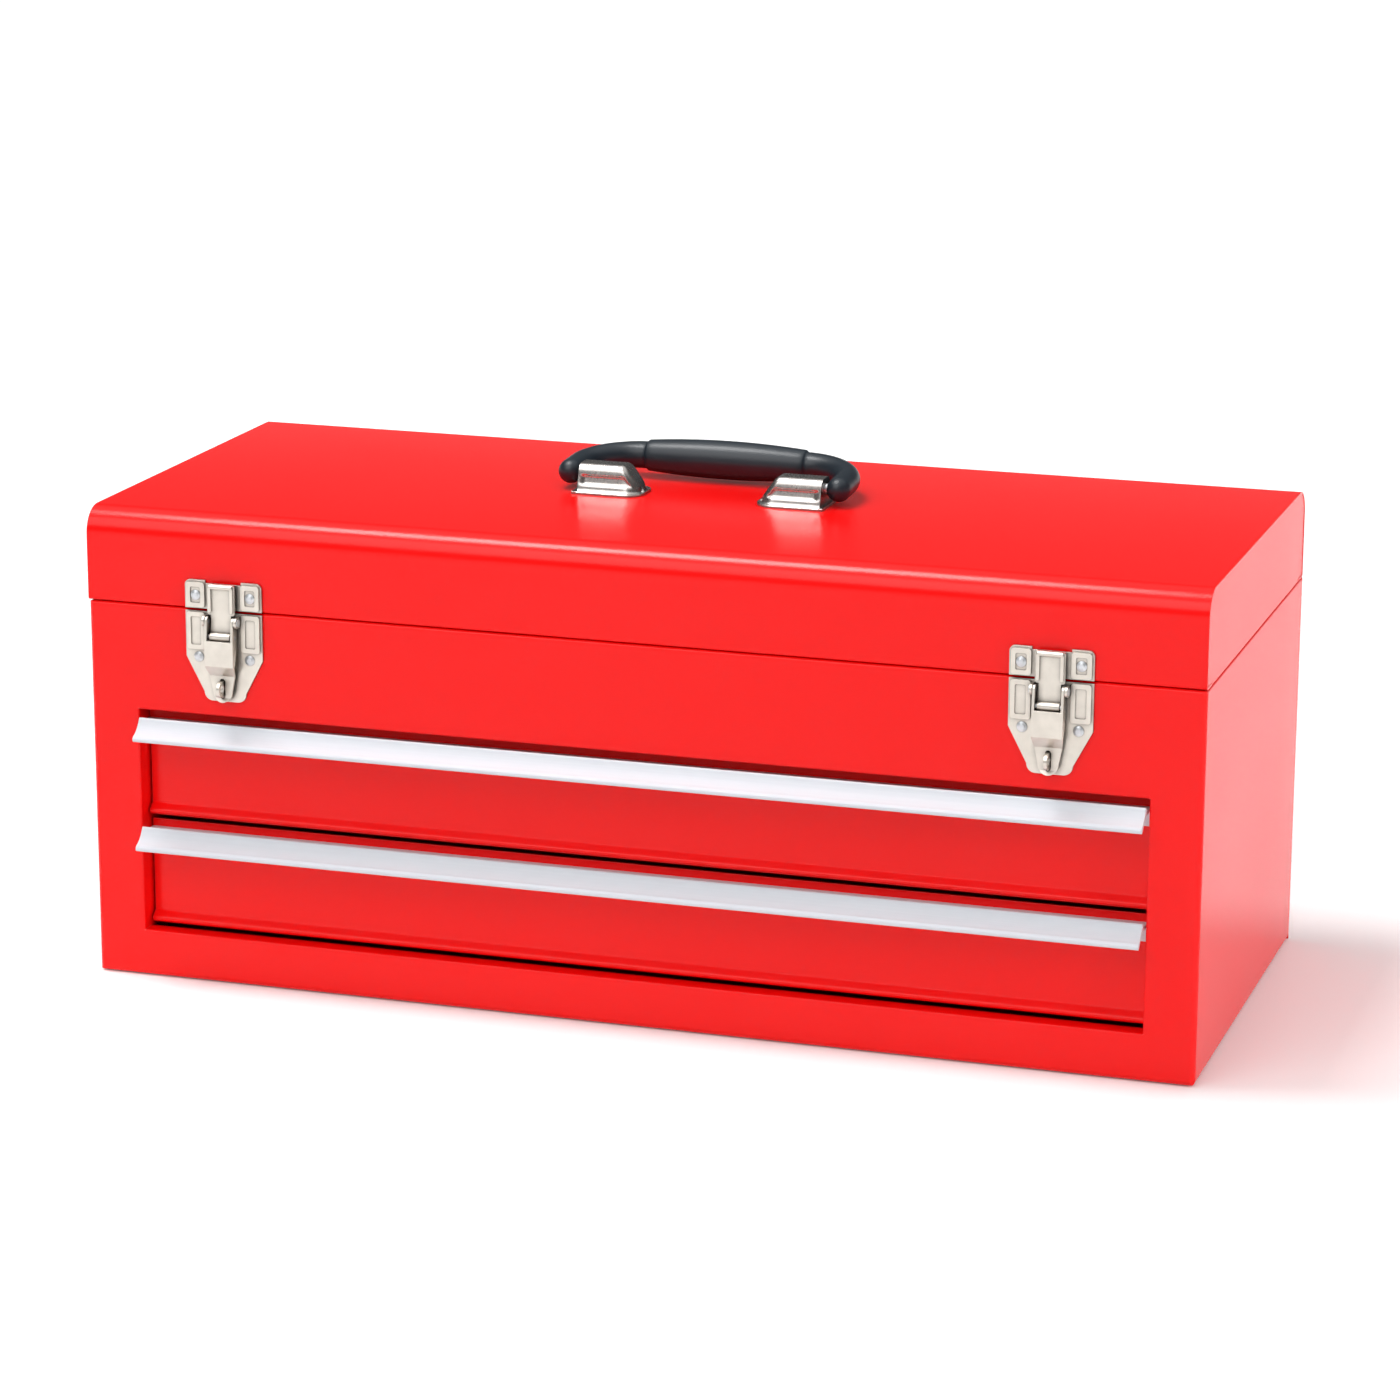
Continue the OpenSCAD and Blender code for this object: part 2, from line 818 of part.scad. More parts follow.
module strike_rivets() {
  seat = plate_t + pad_t / 2;
  color(steel)
    at_latches() translate([0, -seat, 0]) at_strike_rivets() rivet(seat + sheet);
}

// Front view of the lever's plate: straight sides, then a taper to a round end
module lever_front() {
  r = lever_end_w / 2;
  knee = lever_end + 3.6 * r;
  translate([-lever_w / 2, knee])
    square([lever_w, lever_top - knee]);
  polygon([
    [-lever_w / 2, knee + e], [lever_w / 2, knee + e], [r, lever_end + r], [-r, lever_end + r]
  ]);
  translate([0, lever_end + r])
    circle(r);
}

// Side view of the lever's plate: flat over the claw, then set back to the base plate
module lever_side() {
  step_top = lever_end + 17;
  step_low = lever_end + 12;
  curl = 2;
  points = [
    [-lever_face, lever_top], [-lever_face, step_top], [-lever_foot, step_low],
    [-lever_foot, lever_end + curl], [-lever_foot - curl / 2, lever_end],
    [-lever_foot - curl / 2 - lever_t, lever_end], [-lever_foot - lever_t, lever_end + curl],
    [-lever_foot - lever_t, step_low], [-lever_face - lever_t, step_top],
    [-lever_face - lever_t, lever_top]
  ];
  polygon(points);
}

// Side view of the lever's arms, from the pivot down to the step
module lever_arm() {
  translate([-pivot_out, pivot_z])
    circle(lever_arm_r);
  polygon([
    [-pivot_out + lever_arm_r, pivot_z], [-pivot_out - lever_arm_r, pivot_z],
    [-lever_face - lever_t, lever_top], [-lever_face - lever_t, lever_end + 17],
    [-lever_face + 1, lever_end + 17], [-pivot_out + lever_arm_r, claw_pin_z - 2]
  ]);
}

module lever(side) {
  slot_low = staple_z - staple_hole_r - staple_rim - 1.3;
  slot_high = staple_z + staple_hole_r + staple_rim + 0.8;
  color(nickel)
    at_latch(side)
      difference() {
        union() {
          intersection() {
            along_x(lever_w) lever_side();
            forwards(3 * pivot_out) lever_front();
          }
          for (s = [-1, 1])
            translate([s * (lever_w / 2 - lever_t / 2), 0, 0])
              along_x(lever_t) lever_arm();
        }
        latch_bore();
        translate([0, 0, -throw])
          latch_bore();
        forwards(3 * pivot_out)
          upright_slot(staple_t + 1, slot_low, slot_high);
      }
}

module claw_pin(side) {
  color(steel)
    at_latch(side)
      translate([0, -pivot_out, claw_pin_z])
        rotate([0, 90, 0])
          cylinder(r = latch_pin_r, h = lever_w - 0.2, center = true);
}

// Hook plate of the latch: it turns on the claw pin and covers the strike's hump
module claw(side) {
  knuckle = 1.9;
  color(nickel)
    at_latch(side)
      difference() {
        union() {
          translate([0, -pivot_out, claw_pin_z])
            rotate([0, 90, 0])
              cylinder(r = knuckle, h = claw_neck_w, center = true);
          forwards(lever_t, claw_back) {
            translate([-claw_neck_w / 2, claw_pin_z])
              square([claw_neck_w, claw_shoulder - claw_pin_z + 1]);
            translate([0, (claw_shoulder + claw_top) / 2])
              round_rect(claw_w, claw_top - claw_shoulder, 1);
          }
          // Rolled edge that takes the pull along the top, and a rib down each side
          translate([0, -claw_back - lever_t, claw_top - 1.2])
            rotate([0, 90, 0])
              cylinder(r = 1.1, h = claw_w - 2, center = true);
          for (s = [-1, 1])
            forwards(0.9, claw_back + lever_t - e)
              translate([s * (claw_w / 2 - 1.3), (claw_shoulder + claw_top) / 2])
                round_rect(1.4, claw_top - claw_shoulder - 2.4, 0.6);
        }
        translate([0, -pivot_out, claw_pin_z])
          rotate([0, 90, 0])
            cylinder(r = latch_pin_r + pin_gap, h = latch_w, center = true);
      }
}

// ---------- Handle ----------

// Side view of a bracket: a round crown with straight flanks, drawn in by a distance
module bracket_bell(inset) {
  top = [0, bracket_h - crown_r];
  foot = [bracket_d / 2 - inset, 0];
  touch = tangent(foot, top, crown_r - inset);
  translate(top)
    circle(crown_r - inset);
  polygon([foot, touch, [-touch[0], touch[1]], [-foot[0], 0]]);
}

// Front view of a bracket: upright at the handle, sloping towards the middle of the box
module bracket_front(inset) {
  lean = bracket_len / 4;
  polygon([
    [bracket_x - inset, -inset], [bracket_x - inset, bracket_h + 1],
    [bracket_inner + lean + inset, bracket_h + 1],
    [bracket_inner + inset, bracket_h / 4], [bracket_inner + inset, -inset]
  ]);
}

// View of a bracket from above: square at the handle, rounded towards the middle of the box
module bracket_plan(outer, inner, half, r) {
  translate([inner + r, -half])
    square([outer - inner - r, 2 * half]);
  translate([inner, r - half])
    square([2 * r, 2 * (half - r)]);
  for (t = [-1, 1])
    translate([inner + r, t * (half - r)])
      circle(r);
}

module bracket_form(inset) {
  intersection() {
    translate([bracket_x - bracket_len / 2, 0, 0])
      along_x(bracket_len) bracket_bell(inset);
    translate([0, bracket_d, 0])
      forwards(2 * bracket_d) bracket_front(inset);
    translate([0, 0, -1])
      linear_extrude(bracket_h + 3)
        bracket_plan(
          bracket_x + 1, bracket_inner + inset, bracket_d / 2 + 0.4 - inset, bracket_d / 3 - inset
        );
  }
}

// Stamped bracket with a foot all round and two tabs clinched under the lid
module handle_bracket(side) {
  middle = bracket_x - bracket_len / 2;
  slope = atan2(bracket_d / 2 - crown_r, bracket_h - crown_r);
  color(nickel)
    translate([0, 0, box_h])
      mirror([side < 0 ? 1 : 0, 0, 0])
        difference() {
          union() {
            bracket_form(0);
            linear_extrude(bracket_t)
              bracket_plan(
                bracket_x + bracket_foot, bracket_inner - bracket_foot, foot_y, foot_y * 0.7
              );
            for (t = [-1, 1])
              mirror([0, t < 0 ? 1 : 0, 0])
                bracket_tab();
          }
          translate([0, 0, -e])
            bracket_form(bracket_t);
          translate([bracket_x, 0, handle_up])
            rotate([0, 90, 0])
              cylinder(r = handle_pin_r + pin_gap, h = 4 * bracket_t, center = true);
          // Long hollow pressed in the front and the back flank
          for (t = [-1, 1])
            mirror([0, t < 0 ? 1 : 0, 0])
              translate([middle + 1, bracket_d / 2, 0])
                rotate([slope, 0, 0])
                  translate([0, bracket_t / 2, bracket_h * 0.46])
                    cube([bracket_len * 0.56, 2 * bracket_t, bracket_h * 0.24], center = true);
        }
}

// One tab: down through the lid's slot, then bent out under the lid
module bracket_tab() {
  translate([tab_x - tab_w / 2, tab_y - bracket_t / 2, -sheet - bracket_t])
    cube([tab_w, bracket_t, sheet + bracket_t + e]);
  translate([tab_x - tab_w / 2, tab_y - bracket_t / 2, -sheet - bracket_t])
    cube([tab_w, tab_len, bracket_t - e]);
}

// Radius of the grip, from its middle (0) to its end (1)
function grip_at(share) = grip_end_r + (grip_r - grip_end_r) * (1 - share * share);

// Moulded handle, folded back: arms, elbows and a grip that swells to its middle
module handle_grip() {
  half = arm_x - elbow_r;
  steps = 8;
  shoulder = 1;
  color(black)
    translate([0, 0, pivot_height])
      rotate([asin(handle_rise / handle_bow), 0, 0])
        difference() {
          union() {
            translate([0, handle_bow, 0])
              rotate([0, 90, 0])
                rotate_extrude()
                  polygon([
                    [0, -half], [arm_r, -half],
                    for (i = [-steps : steps]) [grip_at(i / steps), (half - shoulder) * i / steps],
                    [arm_r, half], [0, half]
                  ]);
            for (s = [-1, 1])
              mirror([s < 0 ? 1 : 0, 0, 0]) {
                translate([half, handle_bow - elbow_r, 0])
                  rotate_extrude(angle = 90)
                    translate([elbow_r, 0])
                      circle(arm_r);
                translate([arm_x, 0, 0])
                  rotate([-90, 0, 0])
                    handle_arm(handle_bow - elbow_r);
              }
          }
          rotate([0, 90, 0])
            cylinder(r = handle_pin_r + seat_gap, h = 2 * (arm_x + pin_depth + seat_gap), center = true);
        }
}

// Straight arm of the handle along Z, with a round end below the origin
module handle_arm(len) {
  rotate_extrude() {
    intersection() {
      circle(arm_r);
      translate([0, -arm_r])
        square([arm_r, arm_r]);
    }
    square([arm_r, len]);
  }
}

module handle_pins() {
  head_x = bracket_x - bracket_t - part_gap;
  head_h = 1.5;
  color(steel)
    translate([0, 0, pivot_height])
      for (s = [-1, 1])
        rotate([0, s * 90, 0]) {
          translate([0, 0, head_x - head_h])
            cylinder(r = handle_pin_r, h = arm_x + pin_depth - head_x + head_h);
          translate([0, 0, head_x - head_h])
            cylinder(r = handle_pin_r + 0.6, h = head_h);
        }
}

// ---------- Drawers ----------

// Puts its children at the underside of a drawer, on the front plane
module in_drawer(level) {
  translate([0, front_y, drawer_z(level)]) children();
}

module drawer_tray(level) {
  inner_x = tray_x - sheet;
  color(paint)
    in_drawer(level)
      translate([0, front_recess + sheet, sheet]) {
        translate([-tray_x, 0, 0])
          cube([2 * tray_x, tray_d, sheet]);
        translate([-tray_x, tray_d - sheet, 0])
          cube([2 * tray_x, sheet, tray_h]);
        translate([-tray_x, tray_d - rim_w, tray_h - sheet])
          cube([2 * tray_x, rim_w, sheet]);
        for (s = [-1, 1]) {
          translate([s * (tray_x - sheet / 2), tray_d / 2, tray_h / 2])
            cube([sheet, tray_d, tray_h], center = true);
          translate([s * (tray_x - rim_w / 2), tray_d / 2, tray_h - sheet / 2])
            cube([rim_w, tray_d, sheet], center = true);
        }
        // Flanges at the front ends of the sides, fixed to the drawer front
        for (s = [-1, 1])
          translate([s * (inner_x - 4), sheet / 2, tray_h / 2])
            cube([8 + e, sheet, tray_h], center = true);
      }
}

// Flat face, a lip that flares out along the bottom, and a foot folded back under the tray
module drawer_front(level) {
  lip_y = front_recess - lip_out;
  color(paint)
    in_drawer(level)
      difference() {
        along_x(2 * drawer_x)
          polygon([
            [front_recess, front_h], [front_recess, lip_h], [lip_y, sheet], [lip_y, 0],
            [lip_y + foot_w, 0], [lip_y + foot_w, sheet], [lip_y + 1.6 * sheet, sheet],
            [front_recess + sheet, lip_h - 0.4 * sheet], [front_recess + sheet, front_h]
          ]);
        at_pull_screws()
          rotate([90, 0, 0])
            cylinder(r = screw_r + seat_gap, h = 4 * sheet, center = true);
      }
}

module at_pull_screws() {
  for (share = screw_spread)
    translate([share * drawer_x, front_recess + sheet, pull_screw_z]) children();
}

// Cross-section of a pull: leg on the drawer front, web, and a slanted, hollowed face
module pull_outline() {
  face_top = [-pull_top_out, pull_top];
  face_low = [-pull_low_out, pull_low];
  run = face_top - face_low;
  len = norm(run);
  lean = atan2(run[0], run[1]);
  hollow_half = len / 2 - 1.6;
  hollow_r = (hollow_half * hollow_half + pull_hollow * pull_hollow) / (2 * pull_hollow);
  // The web starts just inside the face's metal
  web_y = (pull_hollow + 0.3) / cos(lean) - pull_top_out - pull_web_down * tan(lean);
  difference() {
    union() {
      translate([web_y, pull_web_z - pull_wall])
        square([front_recess - web_y, pull_wall]);
      translate([front_recess - pull_wall, pull_web_z - pull_leg])
        square([pull_wall, pull_leg]);
      translate(face_low)
        rotate(-lean)
          square([pull_wall + pull_hollow, len]);
      translate(face_low)
        rotate(-lean)
          translate([1, 0])
            circle(1.2);
    }
    translate(face_low)
      rotate(-lean)
        translate([pull_hollow - hollow_r, len / 2])
          circle(hollow_r, $fn = 180);
  }
}

module drawer_pull(level) {
  color(alloy)
    in_drawer(level)
      difference() {
        along_x(2 * drawer_x) pull_outline();
        at_pull_screws()
          rotate([90, 0, 0])
            cylinder(r = screw_r + seat_gap, h = 2 * (sheet + pull_wall) + 1, center = true);
      }
}

module pull_screws(level) {
  head_h = 1.8;
  color(steel)
    in_drawer(level)
      at_pull_screws()
        rotate([90, 0, 0]) {
          translate([0, 0, -head_h])
            difference() {
              cylinder(r = screw_head_r, h = head_h);
              for (a = [0, 90])
                rotate(a)
                  cube([1.2 * screw_head_r, 0.8, head_h], center = true);
            }
          translate([0, 0, -e])
            cylinder(r = screw_r, h = sheet + pull_wall + e);
        }
}

// Channel on the tray's side that runs in the fixed runner, with its stop lug
module drawer_rail(side, level) {
  z = drawer_z(level) + runner_up;
  lip_out_x = open_x + sheet - part_gap - sheet;
  color(steel)
    mirror([side < 0 ? 1 : 0, 0, 0])
      translate([0, tray_y + 4, z]) {
        translate([tray_x, 0, -rail_h / 2])
          cube([sheet, rail_len, rail_h]);
        for (dz = [-rail_h / 2, rail_h / 2 - sheet])
          translate([tray_x, 0, dz])
            cube([lip_out_x - tray_x, rail_len, sheet]);
        translate([tray_x, lug_y - tray_y - 4, -rail_h / 4])
          cube([open_x + sheet - part_gap - tray_x, lug_len, rail_h / 2]);
      }
}

// ---------- Nodes ----------

body_shell();
back_panel();
bottom_panel();
till_floor();
runner(-1, 0);  // runner_lower_left
runner(1, 0);  // runner_lower_right
runner(-1, 1);  // runner_upper_left
runner(1, 1);  // runner_upper_right
hinge_body_leaf();
hinge_pin();
hinge_rivet_row(-1);  // hinge_body_rivets
latch_base(-1);  // latch_base_left
latch_base(1);  // latch_base_right
latch_staple(-1);  // latch_staple_left
latch_staple(1);  // latch_staple_right
latch_base_rivets();
lever_pivots();
lid_wrap();
lid_end(-1);  // lid_end_left
lid_end(1);  // lid_end_right
hinge_lid_leaf();
hinge_rivet_row(1);  // hinge_lid_rivets
strike(-1);  // strike_left
strike(1);  // strike_right
strike_rivets();
handle_bracket(-1);  // handle_bracket_left
handle_bracket(1);  // handle_bracket_right
handle_grip();
handle_pins();
lever(-1);  // lever_left
lever(1);  // lever_right
claw_pin(-1);  // claw_pin_left
claw_pin(1);  // claw_pin_right
claw(-1);  // claw_left
claw(1);  // claw_right
drawer_tray(0);  // lower_drawer_tray
drawer_front(0);  // lower_drawer_front
drawer_pull(0);  // lower_drawer_pull
drawer_rail(-1, 0);  // lower_rail_left
drawer_rail(1, 0);  // lower_rail_right
pull_screws(0);  // lower_pull_screws
drawer_tray(1);  // upper_drawer_tray
drawer_front(1);  // upper_drawer_front
drawer_pull(1);  // upper_drawer_pull
drawer_rail(-1, 1);  // upper_rail_left
drawer_rail(1, 1);  // upper_rail_right
pull_screws(1);  // upper_pull_screws
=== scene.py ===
"""Looks of a two-drawer steel tool box: finishes, dressed pieces, studio, camera."""

import logging
import math
from dataclasses import dataclass, field
from enum import Enum
from typing import Any, Sequence

import bmesh
import bpy
from mathutils import Matrix, Vector


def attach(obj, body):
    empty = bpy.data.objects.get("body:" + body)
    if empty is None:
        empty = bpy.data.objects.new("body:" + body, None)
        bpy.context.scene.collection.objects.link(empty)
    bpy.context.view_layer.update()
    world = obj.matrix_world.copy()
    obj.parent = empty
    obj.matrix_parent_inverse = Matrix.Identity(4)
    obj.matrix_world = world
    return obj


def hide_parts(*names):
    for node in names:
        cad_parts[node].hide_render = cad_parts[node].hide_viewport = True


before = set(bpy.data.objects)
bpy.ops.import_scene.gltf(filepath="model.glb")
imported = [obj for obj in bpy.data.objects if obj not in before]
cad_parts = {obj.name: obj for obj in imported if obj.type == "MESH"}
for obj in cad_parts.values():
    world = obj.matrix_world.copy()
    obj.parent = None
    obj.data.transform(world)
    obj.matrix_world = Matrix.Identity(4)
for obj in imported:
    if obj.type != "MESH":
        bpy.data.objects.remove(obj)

MM = 0.001
log = logging.getLogger("tool_box")
Point2 = tuple[float, float]
Point3 = tuple[float, float, float]
Colour = tuple[float, float, float, float]


def paint_colour(red: float, green: float, blue: float) -> Colour:
    """Turns a display colour into the linear colour that a shader takes.

    Args:
        red: Red of the display colour, 0 to 255.
        green: Green of the display colour, 0 to 255.
        blue: Blue of the display colour, 0 to 255.

    Returns:
        The linear colour, opaque.
    """
    linear = [
        c / 12.92 if c <= 0.04045 else ((c + 0.055) / 1.055) ** 2.4
        for c in (red / 255, green / 255, blue / 255)
    ]
    return (linear[0], linear[1], linear[2], 1.0)


class Slot(Enum):
    """The record's material slots."""

    RED_PAINT = "red_paint"
    DARK_RED_PAINT = "dark_red_paint"
    ZINC = "zinc_steel"
    NICKEL = "nickel_plate"
    CHROME = "chrome_plate"
    ALUMINIUM = "anodised_aluminium"
    PLASTIC = "black_plastic"


class Side(Enum):
    """The left or the right half of the box, as the front is looked at."""

    LEFT = -1
    RIGHT = 1

    @property
    def word(self) -> str:
        """The side's name in node names."""
        return self.name.lower()


# ---------- Node trees ----------


class Value:
    """A number socket that takes Python's operators, each of which adds a Math node."""

    def __init__(self, tree: "NodeTree", socket: bpy.types.NodeSocket) -> None:
        """Keeps the socket and the tree that it is in."""
        self.tree = tree
        self.socket = socket

    def math(self, operation: str, *operands: Any) -> "Value":
        """Adds one Math node.

        Args:
            operation: The Math node's operation.
            operands: Its inputs in order, numbers or values.

        Returns:
            The node's result.
        """
        node = self.tree.node(
            "ShaderNodeMath", {"operation": operation}, dict(enumerate(operands))
        )
        return Value(self.tree, node.outputs[0])

    def __add__(self, other: Any) -> "Value":
        """self + other."""
        return self.math("ADD", self, other)

    def __radd__(self, other: Any) -> "Value":
        """other + self."""
        return self.math("ADD", other, self)

    def __sub__(self, other: Any) -> "Value":
        """self - other."""
        return self.math("SUBTRACT", self, other)

    def __rsub__(self, other: Any) -> "Value":
        """other - self."""
        return self.math("SUBTRACT", other, self)

    def __mul__(self, other: Any) -> "Value":
        """self * other."""
        return self.math("MULTIPLY", self, other)

    def __rmul__(self, other: Any) -> "Value":
        """other * self."""
        return self.math("MULTIPLY", other, self)

    def __truediv__(self, other: Any) -> "Value":
        """self / other."""
        return self.math("DIVIDE", self, other)

    def __rtruediv__(self, other: Any) -> "Value":
        """other / self."""
        return self.math("DIVIDE", other, self)

    def __pow__(self, other: Any) -> "Value":
        """self ** other."""
        return self.math("POWER", self, other)

    def clamped(self) -> "Value":
        """The value held between 0 and 1."""
        return self.math("MINIMUM", self.math("MAXIMUM", self, 0.0), 1.0)


class NodeTree:
    """A node tree with one method that adds any node."""

    def __init__(self, tree: bpy.types.NodeTree) -> None:
        """Keeps the tree."""
        self.tree = tree

    def node(
        self,
        kind: str,
        settings: dict[str, Any] | None = None,
        inputs: dict[Any, Any] | None = None,
    ) -> bpy.types.Node:
        """Adds a node, sets it up and fills its inputs.

        Args:
            kind: The node's type.
            settings: Its own settings, set first. "stops" holds a colour ramp's stops.
            inputs: What goes to each input, by name or number: a number, a colour,
                an output socket or a Value.

        Returns:
            The new node.
        """
        node = self.tree.nodes.new(kind)
        for name, value in (settings or {}).items():
            if name == "stops":
                ramp = node.color_ramp
                for index, (place, colour) in enumerate(value):
                    if index < 2:
                        ramp.elements[index].position = place
                    else:
                        ramp.elements.new(place)
                    ramp.elements[index].color = colour
            else:
                setattr(node, name, value)
        for name, value in (inputs or {}).items():
            socket = node.inputs[name]
            if isinstance(value, Value):
                self.tree.links.new(value.socket, socket)
            elif isinstance(value, bpy.types.NodeSocket):
                self.tree.links.new(value, socket)
            else:
                socket.default_value = value
        return node


class ShaderTree(NodeTree):
    """The nodes of one material."""

    EDGE_GAIN = 4.0

    def __init__(self, name: str) -> None:
        """Makes an empty material of that name."""
        self.material = bpy.data.materials.new(name)
        self.material.use_nodes = True
        self.material.node_tree.nodes.clear()
        super().__init__(self.material.node_tree)
        self.coords = self.node("ShaderNodeTexCoord").outputs["Object"]

    def stretched(self, scale: Point3) -> bpy.types.NodeSocket:
        """Object coordinates scaled by a factor on each axis."""
        return self.node(
            "ShaderNodeMapping", {}, {"Vector": self.coords, "Scale": scale}
        ).outputs["Vector"]

    def noise(
        self,
        scale: float,
        detail: float = 2.0,
        vector: bpy.types.NodeSocket | None = None,
    ) -> Value:
        """Noise between 0 and 1.

        Args:
            scale: Waves per metre.
            detail: Finer layers of noise.
            vector: Coordinates, or none for the object's own.

        Returns:
            The noise.
        """
        node = self.node(
            "ShaderNodeTexNoise",
            {},
            {"Vector": vector or self.coords, "Scale": scale, "Detail": detail},
        )
        return Value(self, node.outputs["Fac"])

    def mix(self, factor: Value, first: Any, second: Any) -> bpy.types.NodeSocket:
        """Mixes two colours by a factor."""
        node = self.node("ShaderNodeMix", {"data_type": "RGBA"}, {"Factor": factor})
        for index, value in ((6, first), (7, second)):
            if isinstance(value, bpy.types.NodeSocket):
                self.tree.links.new(value, node.inputs[index])
            else:
                node.inputs[index].default_value = value
        return node.outputs[2]

    def soft_edges(self, radius: float) -> tuple[bpy.types.NodeSocket, Value]:
        """Normals that turn smoothly over the edges, and a mask of those edges.

        Args:
            radius: Radius of the edges in millimetres.

        Returns:
            The normal, and a mask that is 1 on an edge and 0 away from it.
        """
        bevel = self.node(
            "ShaderNodeBevel", {"samples": 6}, {"Radius": radius * MM}
        ).outputs["Normal"]
        flat = self.node("ShaderNodeNewGeometry").outputs["Normal"]
        dot = self.node(
            "ShaderNodeVectorMath", {"operation": "DOT_PRODUCT"}, {0: bevel, 1: flat}
        ).outputs["Value"]
        return bevel, ((1.0 - Value(self, dot)) * self.EDGE_GAIN).clamped()

    def hollows(self, reach: float) -> Value:
        """A mask from ambient occlusion, 1 in the open and falling to 0 in narrow
        recesses; plating uses it to paint shade.

        Args:
            reach: How far the occlusion reaches, in millimetres.

        Returns:
            The mask.
        """
        node = self.node(
            "ShaderNodeAmbientOcclusion",
            {"samples": 8, "only_local": False},
            {"Distance": reach * MM},
        )
        return Value(self, node.outputs["AO"])

    def bump(
        self, height: Value, strength: float, depth: float, normal: bpy.types.NodeSocket
    ) -> bpy.types.NodeSocket:
        """A bumped normal.

        Args:
            height: The relief, 0 to 1.
            strength: How strongly it shows.
            depth: Its depth in millimetres.
            normal: The normal under it.

        Returns:
            The normal.
        """
        return self.node(
            "ShaderNodeBump",
            {},
            {
                "Height": height,
                "Strength": strength,
                "Distance": depth * MM,
                "Normal": normal,
            },
        ).outputs["Normal"]

    def finish(self, **inputs: Any) -> bpy.types.Material:
        """Ends the tree in one Principled shader.

        Args:
            inputs: The shader's inputs, with _ for a space in a name.

        Returns:
            The material.
        """
        shader = self.node(
            "ShaderNodeBsdfPrincipled",
            {},
            {name.replace("_", " "): value for name, value in inputs.items()},
        )
        self.node(
            "ShaderNodeOutputMaterial", {}, {"Surface": shader.outputs["BSDF"]}
        )
        return self.material


# ---------- Finishes ----------


@dataclass(frozen=True)
class Enamel:
    """Glossy stove enamel on sheet steel."""

    name: str
    colour: Colour
    deep: Colour
    # rim: a paler colour painted along the edges as a highlight.
    rim: Colour
    roughness: float = 0.22
    gloss: float = 0.25
    edge: float = 0.45
    clouds: float = 14.0
    cloud_share: float = 0.35
    peel: float = 620.0
    rim_share: float = 0.45

    def material(self) -> bpy.types.Material:
        """Builds the enamel.

        Returns:
            The material: faint clouding, orange peel, and a painted highlight: a paler
                rim colour mixed in along the edges.
        """
        tree = ShaderTree(self.name)
        normal, edges = tree.soft_edges(self.edge)
        cloud = tree.noise(self.clouds, 3.0)
        peel = tree.noise(self.peel)
        body = tree.mix(cloud * self.cloud_share, self.colour, self.deep)
        # Painted highlight: along the edges the base colour turns towards the paler rim
        # colour, standing in for reflections on the rounded edges.
        return tree.finish(
            Base_Color=tree.mix(edges * self.rim_share, body, self.rim),
            Roughness=self.roughness - 0.05 + cloud * 0.1,
            Specular_IOR_Level=self.gloss,
            Normal=tree.bump(peel, 0.05, 0.05, normal),
        )


@dataclass(frozen=True)
class Plating:
    """Bright or satin metal plating on stamped steel."""

    name: str
    colour: Colour
    # shade: the dark colour of the painted shade in hollows, also mixed in by the
    # clouding.
    shade: Colour
    roughness: float
    reach: float
    grain: Point3 = (900.0, 900.0, 140.0)
    clouds: float = 160.0
    relief: float = 0.08
    edge: float = 0.25

    def material(self) -> bpy.types.Material:
        """Builds the plating.

        Returns:
            The material: fine rolling grain, painted shade that darkens the hollows, and
                polished edges.
        """
        tree = ShaderTree(self.name)
        normal, edges = tree.soft_edges(self.edge)
        grain = tree.noise(1.0, 3.0, tree.stretched(self.grain))
        cloud = tree.noise(self.clouds, 3.0)
        # Painted shade: ambient occlusion darkens the base colour towards the shade
        # colour in hollows and crevices.
        hollow = (1.0 - tree.hollows(self.reach)).clamped()
        tone = (hollow * 1.1 + cloud * 0.3 - 0.1 - edges * 0.5).clamped()
        return tree.finish(
            Base_Color=tree.mix(tone, self.colour, self.shade),
            Metallic=1.0,
            Roughness=self.roughness + grain * 0.12 + hollow * 0.2 - edges * 0.05,
            Normal=tree.bump(grain, self.relief, 0.05, normal),
        )


@dataclass(frozen=True)
class ZincCoat:
    """Galvanised steel with its crystal pattern."""

    name: str
    bright: Colour
    dull: Colour
    roughness: float = 0.36
    crystal: float = 420.0
    scratch: float = 900.0
    edge: float = 0.25

    def material(self) -> bpy.types.Material:
        """Builds the zinc coat.

        Returns:
            The material: crystals of slightly different brightness.
        """
        tree = ShaderTree(self.name)
        normal, edges = tree.soft_edges(self.edge)
        cells = tree.node(
            "ShaderNodeTexVoronoi", {}, {"Vector": tree.coords, "Scale": self.crystal}
        )
        shade = tree.node(
            "ShaderNodeSeparateColor", {}, {"Color": cells.outputs["Color"]}
        )
        crystal = Value(tree, shade.outputs["Red"])
        fine = tree.noise(self.scratch, 3.0)
        return tree.finish(
            Base_Color=tree.mix(
                (crystal * 0.4 + fine * 0.4 - edges * 0.3).clamped(),
                self.bright,
                self.dull,
            ),
            Metallic=1.0,
            Roughness=self.roughness + crystal * 0.08 + fine * 0.06,
            Normal=tree.bump(fine, 0.06, 0.04, normal),
        )


